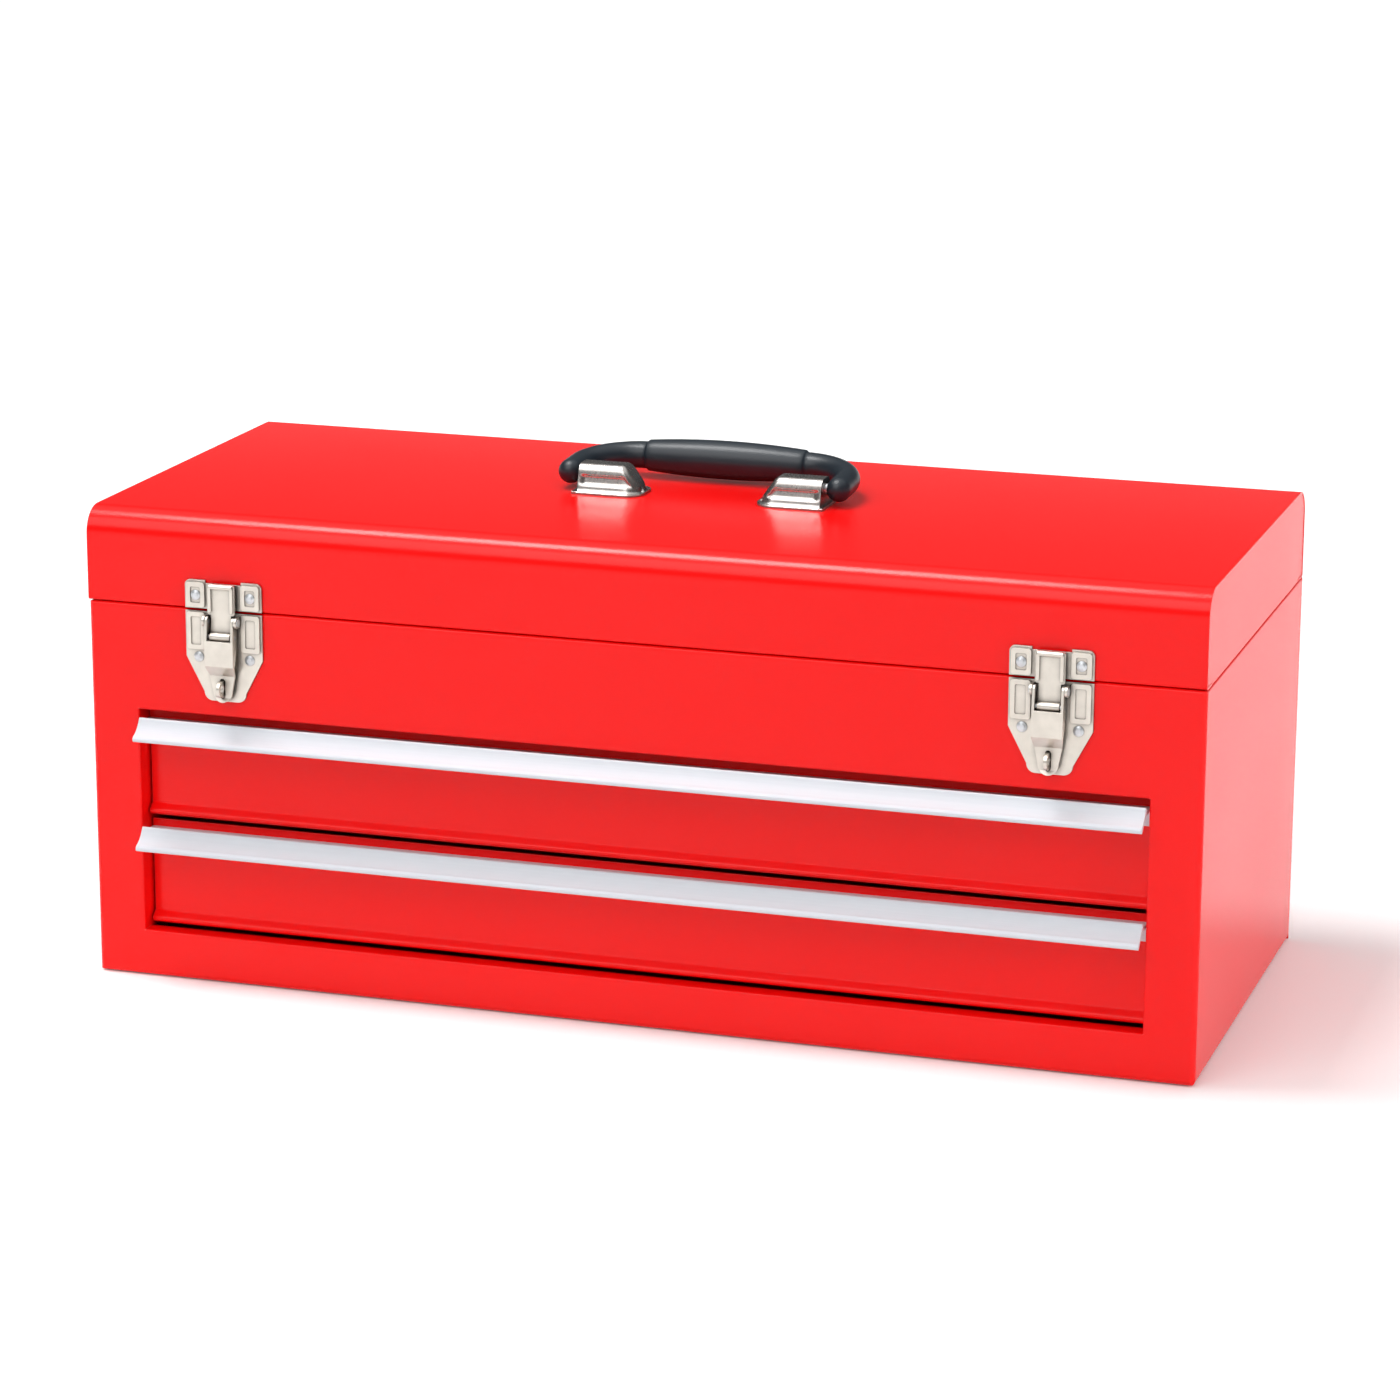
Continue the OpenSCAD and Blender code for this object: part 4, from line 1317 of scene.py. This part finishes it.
@dataclass
class Hinge:
    """The piano hinge: two leaves with rolled knuckles, a pin and rows of rivets."""

    dresser: Dresser
    fasteners: Fasteners
    length: float = 444.0
    knuckles: int = 15
    axis_y: float = 111.9
    axis_z: float = 174.0
    plane: float = 109.0
    sheet: float = 1.0
    leaf: float = 1.0
    leaf_height: float = 17.0
    curl: float = 2.1
    gap: float = 0.3
    trim: float = 0.4
    near: float = 3.1
    curl_seat: float = 0.3
    neck: float = 5.2
    turn: float = 330.0
    turn_steps: int = 30
    ear_width: float = 12.0
    ear_out: float = 8.5
    ear_low: float = 3.6
    ear_bend: float = 0.9
    rivet_drop: float = 11.5
    rivets: int = 7

    def _curl(self, up: int) -> bpy.types.Object:
        """Rolls one knuckle from its strip.

        Args:
            up: 1 for the lid's leaf, -1 for the body's.

        Returns:
            The knuckle, one knuckle long, from x = 0.
        """
        path: list[Point2] = [(-self.curl, -self.neck), (-self.curl, -2.0)]
        for k in range(self.turn_steps + 1):
            a = math.pi - math.radians(self.turn) * k / self.turn_steps
            path.append((self.curl * math.cos(a), self.curl * math.sin(a)))
        outline = [
            (self.axis_y + y - self.curl_seat, self.axis_z - up * z)
            for y, z in strip(path, self.leaf / 2, self.leaf / 2)
        ]
        pitch = self.length / self.knuckles
        return swept(f"curl_{up}", outline, self.gap / 2, pitch - self.gap / 2)

    def build_leaf(self, up: int) -> bpy.types.Object:
        """Builds one leaf with its knuckles.

        Args:
            up: 1 for the lid's leaf, -1 for the body's.

        Returns:
            The leaf.
        """
        name = "lid" if up > 0 else "body"
        near, far = self.axis_z + up * self.near, self.axis_z + up * self.leaf_height
        outline = bent(
            [
                Corner(self.plane, near, 0.2),
                Corner(self.plane + self.leaf, near, 0.2),
                Corner(self.plane + self.leaf, far, 0.3),
                Corner(self.plane, far, 0.3),
            ],
            closed=True,
            step=30,
        )
        half = self.length / 2
        reach = half if up > 0 else half - self.trim
        plate = swept(f"leaf_{name}", outline, -reach, reach)
        pitch = self.length / self.knuckles
        first = 0 if up < 0 else 1
        curl = self._curl(up)
        rolled = grown(
            f"knuckles_{name}",
            [(0, 0, 0)],
            self.fasteners.trees.row.tree,
            {
                "Prototype": curl,
                "Count": (self.knuckles + 1) // 2 - first,
                "Pitch": 2 * pitch * MM,
                "Start": ((-half + first * pitch) * MM, 0.0, 0.0),
                "Material": self.dresser.finishes[Slot.ZINC],
            },
        )
        bpy.data.objects.remove(curl)
        parts = [plate, rolled]
        if up > 0:
            parts += [self._stop_ear(s) for s in (-1, 1)]
        return joined(f"hinge_leaf_{name}", parts)

    def _stop_ear(self, s: int) -> bpy.types.Object:
        """Builds the hooked ear at one end of the lid's leaf.

        Args:
            s: -1 on the left and 1 on the right.

        Returns:
            The ear.
        """
        y, z, t, bend = self.axis_y, self.axis_z, self.leaf, self.ear_bend
        flat = self.plane + t / 2
        path = bent(
            [
                Corner(flat, z + self.leaf_height),
                Corner(flat, z + self.ear_low, bend),
                Corner(y + self.ear_out, z + self.ear_low, bend),
                Corner(y + self.ear_out, z - bend),
            ],
            closed=False,
            step=15,
        )
        half = self.length / 2
        ends = sorted((s * half, s * (half + self.ear_width)))
        return swept(f"stop_ear_{s}", strip(path, t / 2, t / 2), ends[0], ends[1])

    def dress(self) -> None:
        """Places the leaves, the pin and the rivets."""
        put = self.dresser.place
        put(self.build_leaf(-1), "cabinet", Slot.ZINC, "hinge_body_leaf")
        put(self.build_leaf(1), "lid", Slot.ZINC, "hinge_lid_leaf")
        self.dresser.finishes.dress_node("hinge_pin", Slot.NICKEL)
        pitch = self.length / self.knuckles
        step = (self.length - 2 * pitch) / (self.rivets - 1)
        for up, body in ((-1, "cabinet"), (1, "lid")):
            word = "body" if up < 0 else "lid"
            points = [
                (
                    -self.length / 2 + pitch + i * step,
                    self.plane + self.leaf,
                    self.axis_z + up * self.rivet_drop,
                )
                for i in range(self.rivets)
            ]
            row = self.fasteners.rivets(
                f"rivets_{word}_leaf", points, Facing.BACK, self.leaf + self.sheet
            )
            put(row, body, Slot.ZINC, f"hinge_{word}_rivets")


@dataclass
class Drawer:
    """One drawer: its tray, front, pull, rails and screws."""

    dresser: Dresser
    fasteners: Fasteners
    level: str
    floor: float
    front: float = -109.0
    half: float = 230.0
    height: float = 48.3
    recess: float = 10.0
    sheet: float = 1.0
    lip_top: float = 4.9
    lip_out: float = 5.1
    foot_in: float = 16.0
    face_low: Point2 = (-9.3, 39.8)
    face_top: Point2 = (-1.5, 47.6)
    face_wall: float = 2.1
    face_hollow: float = 0.7
    web_top: float = 44.9
    web: float = 1.4
    leg: float = 8.5
    bead: float = 1.5
    screw_height: float = 39.9
    screw_spread: tuple[float, ...] = (-0.82, -0.3, 0.3, 0.82)

    def build_front(self) -> bpy.types.Object:
        """Folds the front: flat face, flared lip and the foot folded back under.

        Returns:
            The front.
        """
        middle = self.recess + self.sheet / 2
        path = bent(
            [
                Corner(middle, self.height),
                Corner(middle, self.lip_top, 1.6),
                Corner(self.lip_out, self.sheet / 2, 1.1),
                Corner(self.foot_in, self.sheet / 2),
            ],
            closed=False,
            step=8,
        )
        outline = strip(path, self.sheet / 2, self.sheet / 2)
        outline = [(self.front + y, self.floor + z) for y, z in outline]
        return swept(f"{self.level}_front_panel", outline, -self.half, self.half)

    def build_pull(self) -> bpy.types.Object:
        """Extrudes the pull: slanted hollow face, web and leg.

        Returns:
            The pull.
        """
        low, top = Vector(self.face_low), Vector(self.face_top)
        length = (top - low).length
        along = (top - low) / length
        out = Vector((-along.y, along.x))
        wall, back, inner = self.face_wall, self.recess, self.recess - self.web
        roof, under = self.web_top, self.web_top - self.web

        def on_face(u: float, n: float, r: float = 0.0) -> Corner:
            """A corner given along the face and out from it."""
            p = low + along * u + out * n
            return Corner(p.x, p.y, r)

        def inside(z: float, r: float) -> Corner:
            """A corner on the face's inner side at a height."""
            u = (z - low.y + wall * out.y) / along.y
            return on_face(u, -wall, r)

        corners = [
            on_face(length, 0.0, 0.5),
            on_face(length, -wall, 0.5),
            inside(roof, 0.5),
            Corner(back, roof, 0.4),
            Corner(back, roof - self.leg, 0.3),
            Corner(inner, roof - self.leg, 0.3),
            Corner(inner, under, 0.9),
            inside(under, 1.2),
            on_face(-1.2, -wall - 0.1, 1.15),
            on_face(-1.2, 0.2, 1.15),
            on_face(1.0, 0.2, 0.5),
            on_face(self.bead, -0.1, 0.2),
        ]
        half = length / 2 - self.bead
        for k in range(-9, 10):
            share = k / 10
            sunk = 0.1 + self.face_hollow * (1 - share**2)
            corners.append(on_face(length / 2 + half * share, -sunk))
        corners.append(on_face(length - self.bead, -0.1, 0.2))
        corners.append(on_face(length - 1.2, 0.0, 0.15))
        outline = [
            (self.front + y, self.floor + z)
            for y, z in bent(corners, closed=True, step=12)
        ]
        return swept(f"{self.level}_pull_bar", outline, -self.half, self.half)

    def dress(self) -> None:
        """Places the pieces and dresses the tray and the rails."""
        body, level = f"{self.level}_drawer", self.level
        put = self.dresser.place
        put(self.build_front(), body, Slot.RED_PAINT, f"{level}_drawer_front")
        put(self.build_pull(), body, Slot.ALUMINIUM, f"{level}_drawer_pull")
        self.dresser.finishes.dress_node(f"{level}_drawer_tray", Slot.RED_PAINT)
        for side in Side:
            self.dresser.finishes.dress_node(f"{level}_rail_{side.word}", Slot.ZINC)
        behind = self.front + self.recess + self.sheet
        points = [
            (share * self.half, behind, self.floor + self.screw_height)
            for share in self.screw_spread
        ]
        row = self.fasteners.screws(f"{level}_screws", points, Facing.BACK)
        put(row, body, Slot.ZINC, f"{level}_pull_screws")


@dataclass
class Handle:
    """The folding handle: a moulded bar on two pins."""

    dresser: Dresser
    trees: NodeTrees
    pivot: float = 224.0
    rise: float = 2.0
    arm_x: float = 63.3
    bow: float = 36.0
    elbow: float = 25.0
    arm: float = 5.6
    sleeve: float = 6.3
    grip_end: float = 7.2
    grip: float = 8.9
    shoulder: float = 1.2
    flare_from: float = 0.25
    sides: int = 48
    ridge: float = 0.012
    end_steps: int = 13
    arm_steps: int = 7
    elbow_steps: int = 24
    shoulder_steps: int = 4
    grip_steps: int = 16

    def _line(self) -> tuple[list[Point3], list[float]]:
        """Lays out the bar's line and its radius at each point.

        Returns:
            The points, and the radii in metres.
        """
        flat: list[tuple[Point2, float]] = []
        half = self.arm_x - self.elbow
        end = self.bow - self.elbow
        for k in range(1, self.end_steps):
            a = math.pi / 2 * k / self.end_steps
            radius = self.arm * math.sin(a)
            flat.append(((self.arm_x, -self.arm * math.cos(a)), radius))
        for k in range(self.arm_steps):
            flat.append(((self.arm_x, end * k / self.arm_steps), self.arm))
        for k in range(self.elbow_steps + 1):
            step = k / self.elbow_steps
            a = math.pi / 2 * step
            share = max(0.0, step - self.flare_from) / (1 - self.flare_from)
            x = half + self.elbow * math.cos(a)
            y = end + self.elbow * math.sin(a)
            flat.append(((x, y), self.arm + (self.sleeve - self.arm) * share))
        for k in range(1, self.shoulder_steps):
            step = k / self.shoulder_steps
            radius = self.sleeve + (self.grip_end - self.sleeve) * smooth(step)
            flat.append(((half - self.shoulder * step, self.bow), radius))
        barrel = half - self.shoulder
        for k in range(self.grip_steps + 1):
            share = 1 - k / self.grip_steps
            radius = self.grip_end + (self.grip - self.grip_end) * (1 - share * share)
            flat.append(((barrel * share, self.bow), radius))
        tilt = math.asin(self.rise / self.bow)
        points = [
            (x, y * math.cos(tilt), self.pivot + y * math.sin(tilt))
            for (x, y), _ in flat
        ]
        radii = [radius * MM for _, radius in flat]
        mirrored = [(-x, y, z) for x, y, z in reversed(points[:-1])]
        return points + mirrored, radii + radii[-2::-1]

    def build_bar(self) -> bpy.types.Object:
        """Grows the bar along its line.

        Returns:
            The bar.
        """
        points, radii = self._line()
        bar = grown(
            "handle_bar",
            points,
            self.trees.bar.tree,
            {
                "Sides": self.sides,
                "Parting Ridge": self.ridge,
                "Material": self.dresser.finishes[Slot.PLASTIC],
            },
            lines=True,
            attributes={"swell": radii},
        )
        for face in bar.data.polygons:
            face.use_smooth = True
        return bar

    def dress(self) -> None:
        """Places the bar and dresses the pins."""
        self.dresser.place(self.build_bar(), "handle", Slot.PLASTIC, "handle_grip")
        self.dresser.finishes.dress_node("handle_pins", Slot.ZINC)


@dataclass
class HandleBracket:
    """One stamped bracket: a bell-shaped hood with a pressed hollow in its flanks."""

    dresser: Dresser
    side: Side
    lid_top: float = 216.0
    outer: float = 57.2
    inner: float = 28.6
    lean: float = 7.2
    height: float = 13.0
    half_depth: float = 9.5
    crown: float = 4.75
    metal: float = 1.2
    foot: float = 2.0
    foot_half: float = 11.9
    tab_half: float = 4.0
    tab_reach: float = 6.0
    lid_sheet: float = 1.0
    hollow: float = 1.05
    hollow_low: float = 3.6
    hollow_top: float = 8.6
    hollow_edge: float = 1.1
    crest_start: float = 0.25
    crest_soft: float = 2.2
    crest_share: float = 0.62
    stations: int = 40
    ribs: int = 48

    def _reach(self, x: float, half: float, inner: float, r: float) -> float:
        """Half depth of a plan outline that is rounded towards the box's middle.

        Args:
            x: Distance from the middle of the box.
            half: Half depth of the outline.
            inner: Its inner end.
            r: Radius of its inner corners.

        Returns:
            The half depth at that place.
        """
        into = max(0.0, inner + r - x)
        return half - r + math.sqrt(max(0.0, r * r - into * into))

    def _crest(self, x: float) -> float:
        """Height of the hood's crest at a distance from the middle of the box."""
        slope = self.height * (1 - self.crest_start) / self.lean
        ramp = self.height * self.crest_start + (x - self.inner) * slope
        soft = self.crest_soft
        gap = max(soft - abs(ramp - self.height), 0.0) / soft
        return max(min(ramp, self.height) - gap * gap * soft / 4, self.metal)

    def _section(self, x: float) -> list[Point2]:
        """Cross-section of the hood and its foot, from front to back.

        Args:
            x: Distance from the middle of the box.

        Returns:
            The section's points, (y, z) above the lid.
        """
        crest = self._crest(x)
        half = self._reach(x, self.half_depth, self.inner, self.half_depth * 0.66)
        rim = self._reach(
            x, self.foot_half, self.inner - self.foot, self.foot_half * 0.7
        )
        half = min(half, rim - 0.6)
        r = min(self.crown, crest * 0.6, half * 0.6)
        ridge = half * self.crest_share + 0.2
        flank = bent(
            [
                Corner(-rim, 0.0),
                Corner(-rim, self.metal, 0.5),
                Corner(-half, self.metal, 1.0),
                Corner(-ridge, crest, r * 0.8),
                Corner(ridge, crest, r * 0.8),
                Corner(half, self.metal, 1.0),
                Corner(rim, self.metal, 0.5),
                Corner(rim, 0.0),
            ],
            closed=False,
            step=10,
        )
        return self._spaced([self._pressed(x, p) for p in self._spaced(flank)])

    def _spaced(self, path: list[Point2]) -> list[Point2]:
        """Spreads the same number of points evenly over a line.

        Args:
            path: The line.

        Returns:
            The evenly spaced points.
        """
        marks = [0.0]
        for a, b in zip(path, path[1:]):
            marks.append(marks[-1] + (Vector(b) - Vector(a)).length)
        points: list[Point2] = []
        place = 0
        for k in range(self.ribs * 2 + 1):
            mark = marks[-1] * k / (self.ribs * 2)
            while place < len(path) - 2 and marks[place + 1] < mark:
                place += 1
            span = marks[place + 1] - marks[place]
            share = (mark - marks[place]) / span if span > 0 else 0.0
            p = Vector(path[place]).lerp(Vector(path[place + 1]), min(share, 1.0))
            points.append((p.x, p.y))
        return points

    def _pressed(self, x: float, p: Point2) -> Point2:
        """Presses the hollow into the flanks.

        Args:
            x: Distance from the middle of the box.
            p: A point of the section.

        Returns:
            The point, moved inwards where the hollow is.
        """
        y, z = p
        ceiling = min(self.hollow_top, (x - self.inner) * 1.15 + 0.6)
        high = smooth((ceiling - z) / self.hollow_edge)
        low = smooth((z - self.hollow_low) / self.hollow_edge)
        ends = smooth((self.outer - 1.6 - x) / 1.2)
        depth = self.hollow * high * low * ends
        return (y + math.copysign(min(depth, abs(y)), -y), z - 0.25 * depth)

    def build_hood(self) -> bpy.types.Object:
        """Lofts the hood through its sections and adds the clinched tabs.

        Returns:
            The bracket.
        """
        vertices: list[Point3] = []
        faces: list[tuple[int, ...]] = []
        start = self.inner - self.foot + 0.02
        end = self.outer + self.foot
        quarter = math.pi / 2 / self.stations
        places = [
            start + (self.outer - start) * (1 - math.cos(quarter * k))
            for k in range(self.stations + 1)
        ]
        count = self.ribs * 2 + 1
        sections = [self._section(x) for x in places]
        rim = self.foot_half
        plate = self._spaced(
            [(-rim, 0.0), (-rim, self.metal), (rim, self.metal), (rim, 0.0)]
        )
        places += [self.outer, end]
        sections += [plate, plate]
        for x, section in zip(places, sections):
            vertices += [(self.side.value * x, y, self.lid_top + z) for y, z in section]
        for i in range(len(places) - 1):
            for j in range(count - 1):
                a = i * count + j
                faces.append((a, a + 1, a + count + 1, a + count))
            a, b = i * count, (i + 1) * count
            faces.append((a, b, b + count - 1, a + count - 1))
        faces.append(tuple(range(count)))
        last = (len(places) - 1) * count
        faces.append(tuple(range(last, last + count)))
        name = f"bracket_{self.side.word}"
        hood = mesh_object(name, vertices, faces, sharp=40.0)
        return joined(name, [hood] + [self._tab(t) for t in (-1, 1)])

    def _tab(self, t: int) -> bpy.types.Object:
        """Builds one tab: down through the lid, then bent out under it.

        Args:
            t: -1 in front and 1 behind.

        Returns:
            The tab.
        """
        middle = self.half_depth + self.metal
        inner, outer = middle - self.metal / 2, middle + self.metal / 2
        bottom = -self.lid_sheet - self.metal
        corners = [
            Corner(t * inner, 0.1),
            Corner(t * inner, bottom, 0.6),
            Corner(t * (inner + self.tab_reach), bottom, 0.2),
            Corner(t * (inner + self.tab_reach), bottom + self.metal - 0.05, 0.2),
            Corner(t * outer, bottom + self.metal - 0.05, 0.2),
            Corner(t * outer, 0.1),
        ]
        outline = [(y, self.lid_top + z) for y, z in bent(corners, closed=True)]
        centre = self.side.value * (self.outer + self.inner) / 2
        half = self.tab_half
        return swept(f"tab_{t}", outline, centre - half, centre + half)

    def dress(self) -> None:
        """Places the bracket."""
        self.dresser.place(
            self.build_hood(), "lid", Slot.CHROME, f"handle_bracket_{self.side.word}"
        )


@dataclass
class Latch:
    """One draw latch: base, lever, claw, keeper and padlock staple."""

    dresser: Dresser
    side: Side

    def dress(self) -> None:
        """Dresses the latch's plates and pins."""
        dress = self.dresser.finishes.dress_node
        word = self.side.word
        for name in ("latch_base", "latch_staple", "strike", "lever", "claw"):
            dress(f"{name}_{word}", Slot.NICKEL)
        dress(f"claw_pin_{word}", Slot.ZINC)


@dataclass
class LatchRivets:
    """The rivets of both latches."""

    dresser: Dresser
    fasteners: Fasteners
    latch_x: float = 188.0
    plane: float = -109.0
    seam: float = 174.0
    plate: float = 1.2
    pad: float = 1.1
    sheet: float = 1.0
    base_spread: float = 12.2
    base_drop: float = 21.5
    keeper_spread: float = 13.0
    keeper_rise: float = 6.75

    def _pairs(self, spread: float, seat: float, rise: float) -> list[Point3]:
        """Points of one pair of rivets on each latch.

        Args:
            spread: Half the distance between a pair.
            seat: How far the heads sit in front of the box.
            rise: How far they sit above the lid's seam.

        Returns:
            The points.
        """
        return [
            (s * self.latch_x + t * spread, self.plane - seat, self.seam + rise)
            for s in (-1, 1)
            for t in (-1, 1)
        ]

    def dress(self) -> None:
        """Places the rivets of the bases and the keepers, and dresses the pivots."""
        put, make = self.dresser.place, self.fasteners.rivets
        seat = self.plate + self.pad / 2
        base = self._pairs(self.base_spread, self.plate, -self.base_drop)
        row = make("rivets_latch_bases", base, Facing.FRONT, self.plate + self.sheet)
        put(row, "cabinet", Slot.ZINC, "latch_base_rivets")
        keeper = self._pairs(self.keeper_spread, seat, self.keeper_rise)
        row = make("rivets_keepers", keeper, Facing.FRONT, seat + self.sheet)
        put(row, "lid", Slot.ZINC, "strike_rivets")
        self.dresser.finishes.dress_node("lever_pivots", Slot.ZINC)


# ---------- Studio ----------


@dataclass(frozen=True)
class Softbox:
    """A square or oblong studio lamp."""

    name: str
    place: Point3
    aim: Point3
    width: float
    height: float
    power: float
    mirrored: bool = True

    def build(self) -> None:
        """Hangs the lamp."""
        lamp = bpy.data.lights.new(self.name, "AREA")
        lamp.shape = "RECTANGLE"
        lamp.size, lamp.size_y, lamp.energy = self.width, self.height, self.power
        holder = bpy.data.objects.new(self.name, lamp)
        back = (Vector(self.place) - Vector(self.aim)).normalized()
        level = Vector((0, 1, 0)) if back.z > 0.7 else Vector((0, 0, 1))
        wide = level.cross(back).normalized()
        turn = Matrix((wide, back.cross(wide), back)).transposed().to_4x4()
        holder.matrix_world = Matrix.Translation(self.place) @ turn
        holder.visible_glossy = self.mirrored
        bpy.context.scene.collection.objects.link(holder)


@dataclass
class Studio:
    """White floor and background, soft lamps, and a darker wall in reflections."""

    ambient: float = 0.33
    horizon: float = 1.0
    wall: float = 0.1
    ceiling: float = 1.0
    horizon_top: float = 0.04
    wall_from: float = 0.12
    wall_top: float = 0.55
    ceiling_from: float = 0.85
    floor_half: float = 60.0
    floor_drop: float = 0.4
    floor_tones: tuple[float, float] = (0.9, 0.88)
    glow_near: float = 0.08
    glow_far: float = 0.62
    glow_start: float = 0.7
    glow_span: float = 1.6

    def build(self) -> None:
        """Builds the surroundings, the floor and the lamps."""
        self._surroundings()
        self._floor()
        for lamp in (
            Softbox("overhead", (-0.6, -0.14, 2.1), (-0.2, 0.0, 0.1), 0.85, 0.6, 28.0),
            Softbox("front_key", (-0.7, -2.2, 2.2), (0.0, 0.0, 0.1), 2.4, 1.8, 35.0),
            Softbox("right", (3.0, -0.6, 1.3), (0.1, 0.0, 0.1), 1.4, 1.4, 39.0, False),
            Softbox("left", (-3.0, 0.4, 1.3), (0.0, 0.0, 0.1), 1.4, 1.4, 19.0, False),
            Softbox("back", (0.4, 3.0, 1.6), (0.0, 0.0, 0.1), 1.6, 1.4, 23.0, False),
        ):
            lamp.build()

    def _surroundings(self) -> None:
        """Makes the world: a soft light, and plain white to the camera and through glass.

        Reflections see it white at the horizon and overhead, but much darker along the
        wall between, which keeps glossy enamel red. A wall of 1.0 makes them white too.
        """
        world = bpy.data.worlds.new("studio")
        world.use_nodes = True
        world.node_tree.nodes.clear()
        t = NodeTree(world.node_tree)
        way = t.node("ShaderNodeTexCoord").outputs["Generated"]
        height = t.node("ShaderNodeSeparateXYZ", {}, {"Vector": way}).outputs["Z"]
        stops = [
            (place, (level, level, level, 1.0))
            for place, level in (
                (0.0, self.horizon),
                (self.horizon_top, self.horizon),
                (self.wall_from, self.wall),
                (self.wall_top, self.wall),
                (self.ceiling_from, self.ceiling),
            )
        ]
        ramp = t.node("ShaderNodeValToRGB", {"stops": stops}, {"Fac": height})
        rays = t.node("ShaderNodeLightPath").outputs
        shown = Value(t, rays["Is Camera Ray"]) + Value(t, rays["Is Transmission Ray"])
        glossy = Value(t, rays["Is Glossy Ray"])
        mirrored = glossy * Value(t, ramp.outputs["Color"])
        rest = (1.0 - shown - glossy).clamped() * self.ambient
        light = t.node(
            "ShaderNodeBackground",
            {},
            {"Color": (1, 1, 1, 1), "Strength": (shown + mirrored).clamped() + rest},
        ).outputs[0]
        t.node("ShaderNodeOutputWorld", {}, {"Surface": light})
        bpy.context.scene.world = world

    @staticmethod
    def _seen(t: NodeTree) -> Value:
        """A mask of the camera, glossy and transmission rays, which see the glow."""
        rays = t.node("ShaderNodeLightPath").outputs
        total = (
            Value(t, rays["Is Camera Ray"])
            + Value(t, rays["Is Glossy Ray"])
            + Value(t, rays["Is Transmission Ray"])
        )
        return total.clamped()

    def _floor(self) -> None:
        """Lays the floor: it keeps shadows and is white where it is lit."""
        half, drop = self.floor_half / MM, -self.floor_drop
        corners = [
            (x * half, y * half, drop) for x, y in ((-1, -1), (1, -1), (1, 1), (-1, 1))
        ]
        floor = mesh_object("floor", corners, [(0, 1, 2, 3)])
        tree = ShaderTree("floor_white")
        pale, deep = ((tone, tone, tone, 1.0) for tone in self.floor_tones)
        plain = tree.node(
            "ShaderNodeBsdfDiffuse",
            {},
            {"Color": tree.mix(tree.noise(3.0), pale, deep)},
        ).outputs[0]
        reach = Value(
            tree,
            tree.node(
                "ShaderNodeVectorMath", {"operation": "LENGTH"}, {0: tree.coords}
            ).outputs["Value"],
        )
        far = ((reach - self.glow_start) / self.glow_span).clamped()
        glow = tree.node(
            "ShaderNodeEmission",
            {},
            {"Color": (1, 1, 1, 1), "Strength": far * self.glow_far + self.glow_near},
        ).outputs[0]
        dark = tree.node(
            "ShaderNodeEmission", {}, {"Color": (0, 0, 0, 1), "Strength": 0.0}
        ).outputs[0]
        lift = tree.node(
            "ShaderNodeMixShader", {}, {0: self._seen(tree), 1: dark, 2: glow}
        ).outputs[0]
        both = tree.node("ShaderNodeAddShader", {}, {0: plain, 1: lift})
        tree.node("ShaderNodeOutputMaterial", {}, {"Surface": both.outputs[0]})
        floor.data.materials.append(tree.material)


@dataclass
class ViewPoint:
    """The camera's place and lens."""

    place: Point3 = (600.7, -1894.0, 648.2)
    yaw: float = 17.634
    pitch: float = 14.846
    roll: float = 0.220
    focal_pixels: float = 4505.1
    image_pixels: float = 1400.0
    sensor: float = 36.0
    clip: float = 200.0

    def build(self) -> None:
        """Sets up the camera."""
        yaw, pitch, roll = (math.radians(a) for a in (self.yaw, self.pitch, self.roll))
        ahead = Vector(
            (
                -math.sin(yaw) * math.cos(pitch),
                math.cos(yaw) * math.cos(pitch),
                -math.sin(pitch),
            )
        )
        right = Vector((math.cos(yaw), math.sin(yaw), 0.0))
        up = right.cross(ahead)
        right, up = (
            math.cos(roll) * right + math.sin(roll) * up,
            math.cos(roll) * up - math.sin(roll) * right,
        )
        lens = bpy.data.cameras.new("camera")
        lens.sensor_width = self.sensor
        lens.lens = self.focal_pixels / self.image_pixels * self.sensor
        lens.clip_end = self.clip
        camera = bpy.data.objects.new("camera", lens)
        turn = Matrix((right, up, -ahead)).transposed().to_4x4()
        camera.matrix_world = Matrix.Translation(Vector(self.place) * MM) @ turn
        bpy.context.scene.collection.objects.link(camera)
        bpy.context.scene.camera = camera


def write_sizes() -> None:
    """Updates the view layer.
    """
    bpy.context.view_layer.update()


def main() -> None:
    """Builds every sub-assembly, the studio and the camera, in order."""
    logging.basicConfig(level=logging.INFO, format="%(name)s: %(message)s")
    bpy.context.view_layer.update()
    bpy.context.scene.view_settings.view_transform = "Standard"
    dresser = Dresser(Finishes())
    trees = NodeTrees()
    fasteners = Fasteners(dresser, trees)
    Cabinet(dresser).dress()
    Lid(dresser).dress()
    Hinge(dresser, fasteners).dress()
    for level, floor in (("lower", 23.5), ("upper", 74.5)):
        Drawer(dresser, fasteners, level, floor).dress()
    Handle(dresser, trees).dress()
    for side in Side:
        HandleBracket(dresser, side).dress()
        Latch(dresser, side).dress()
    LatchRivets(dresser, fasteners).dress()
    Studio().build()
    ViewPoint().build()
    write_sizes()


if __name__ == "__main__":
    main()
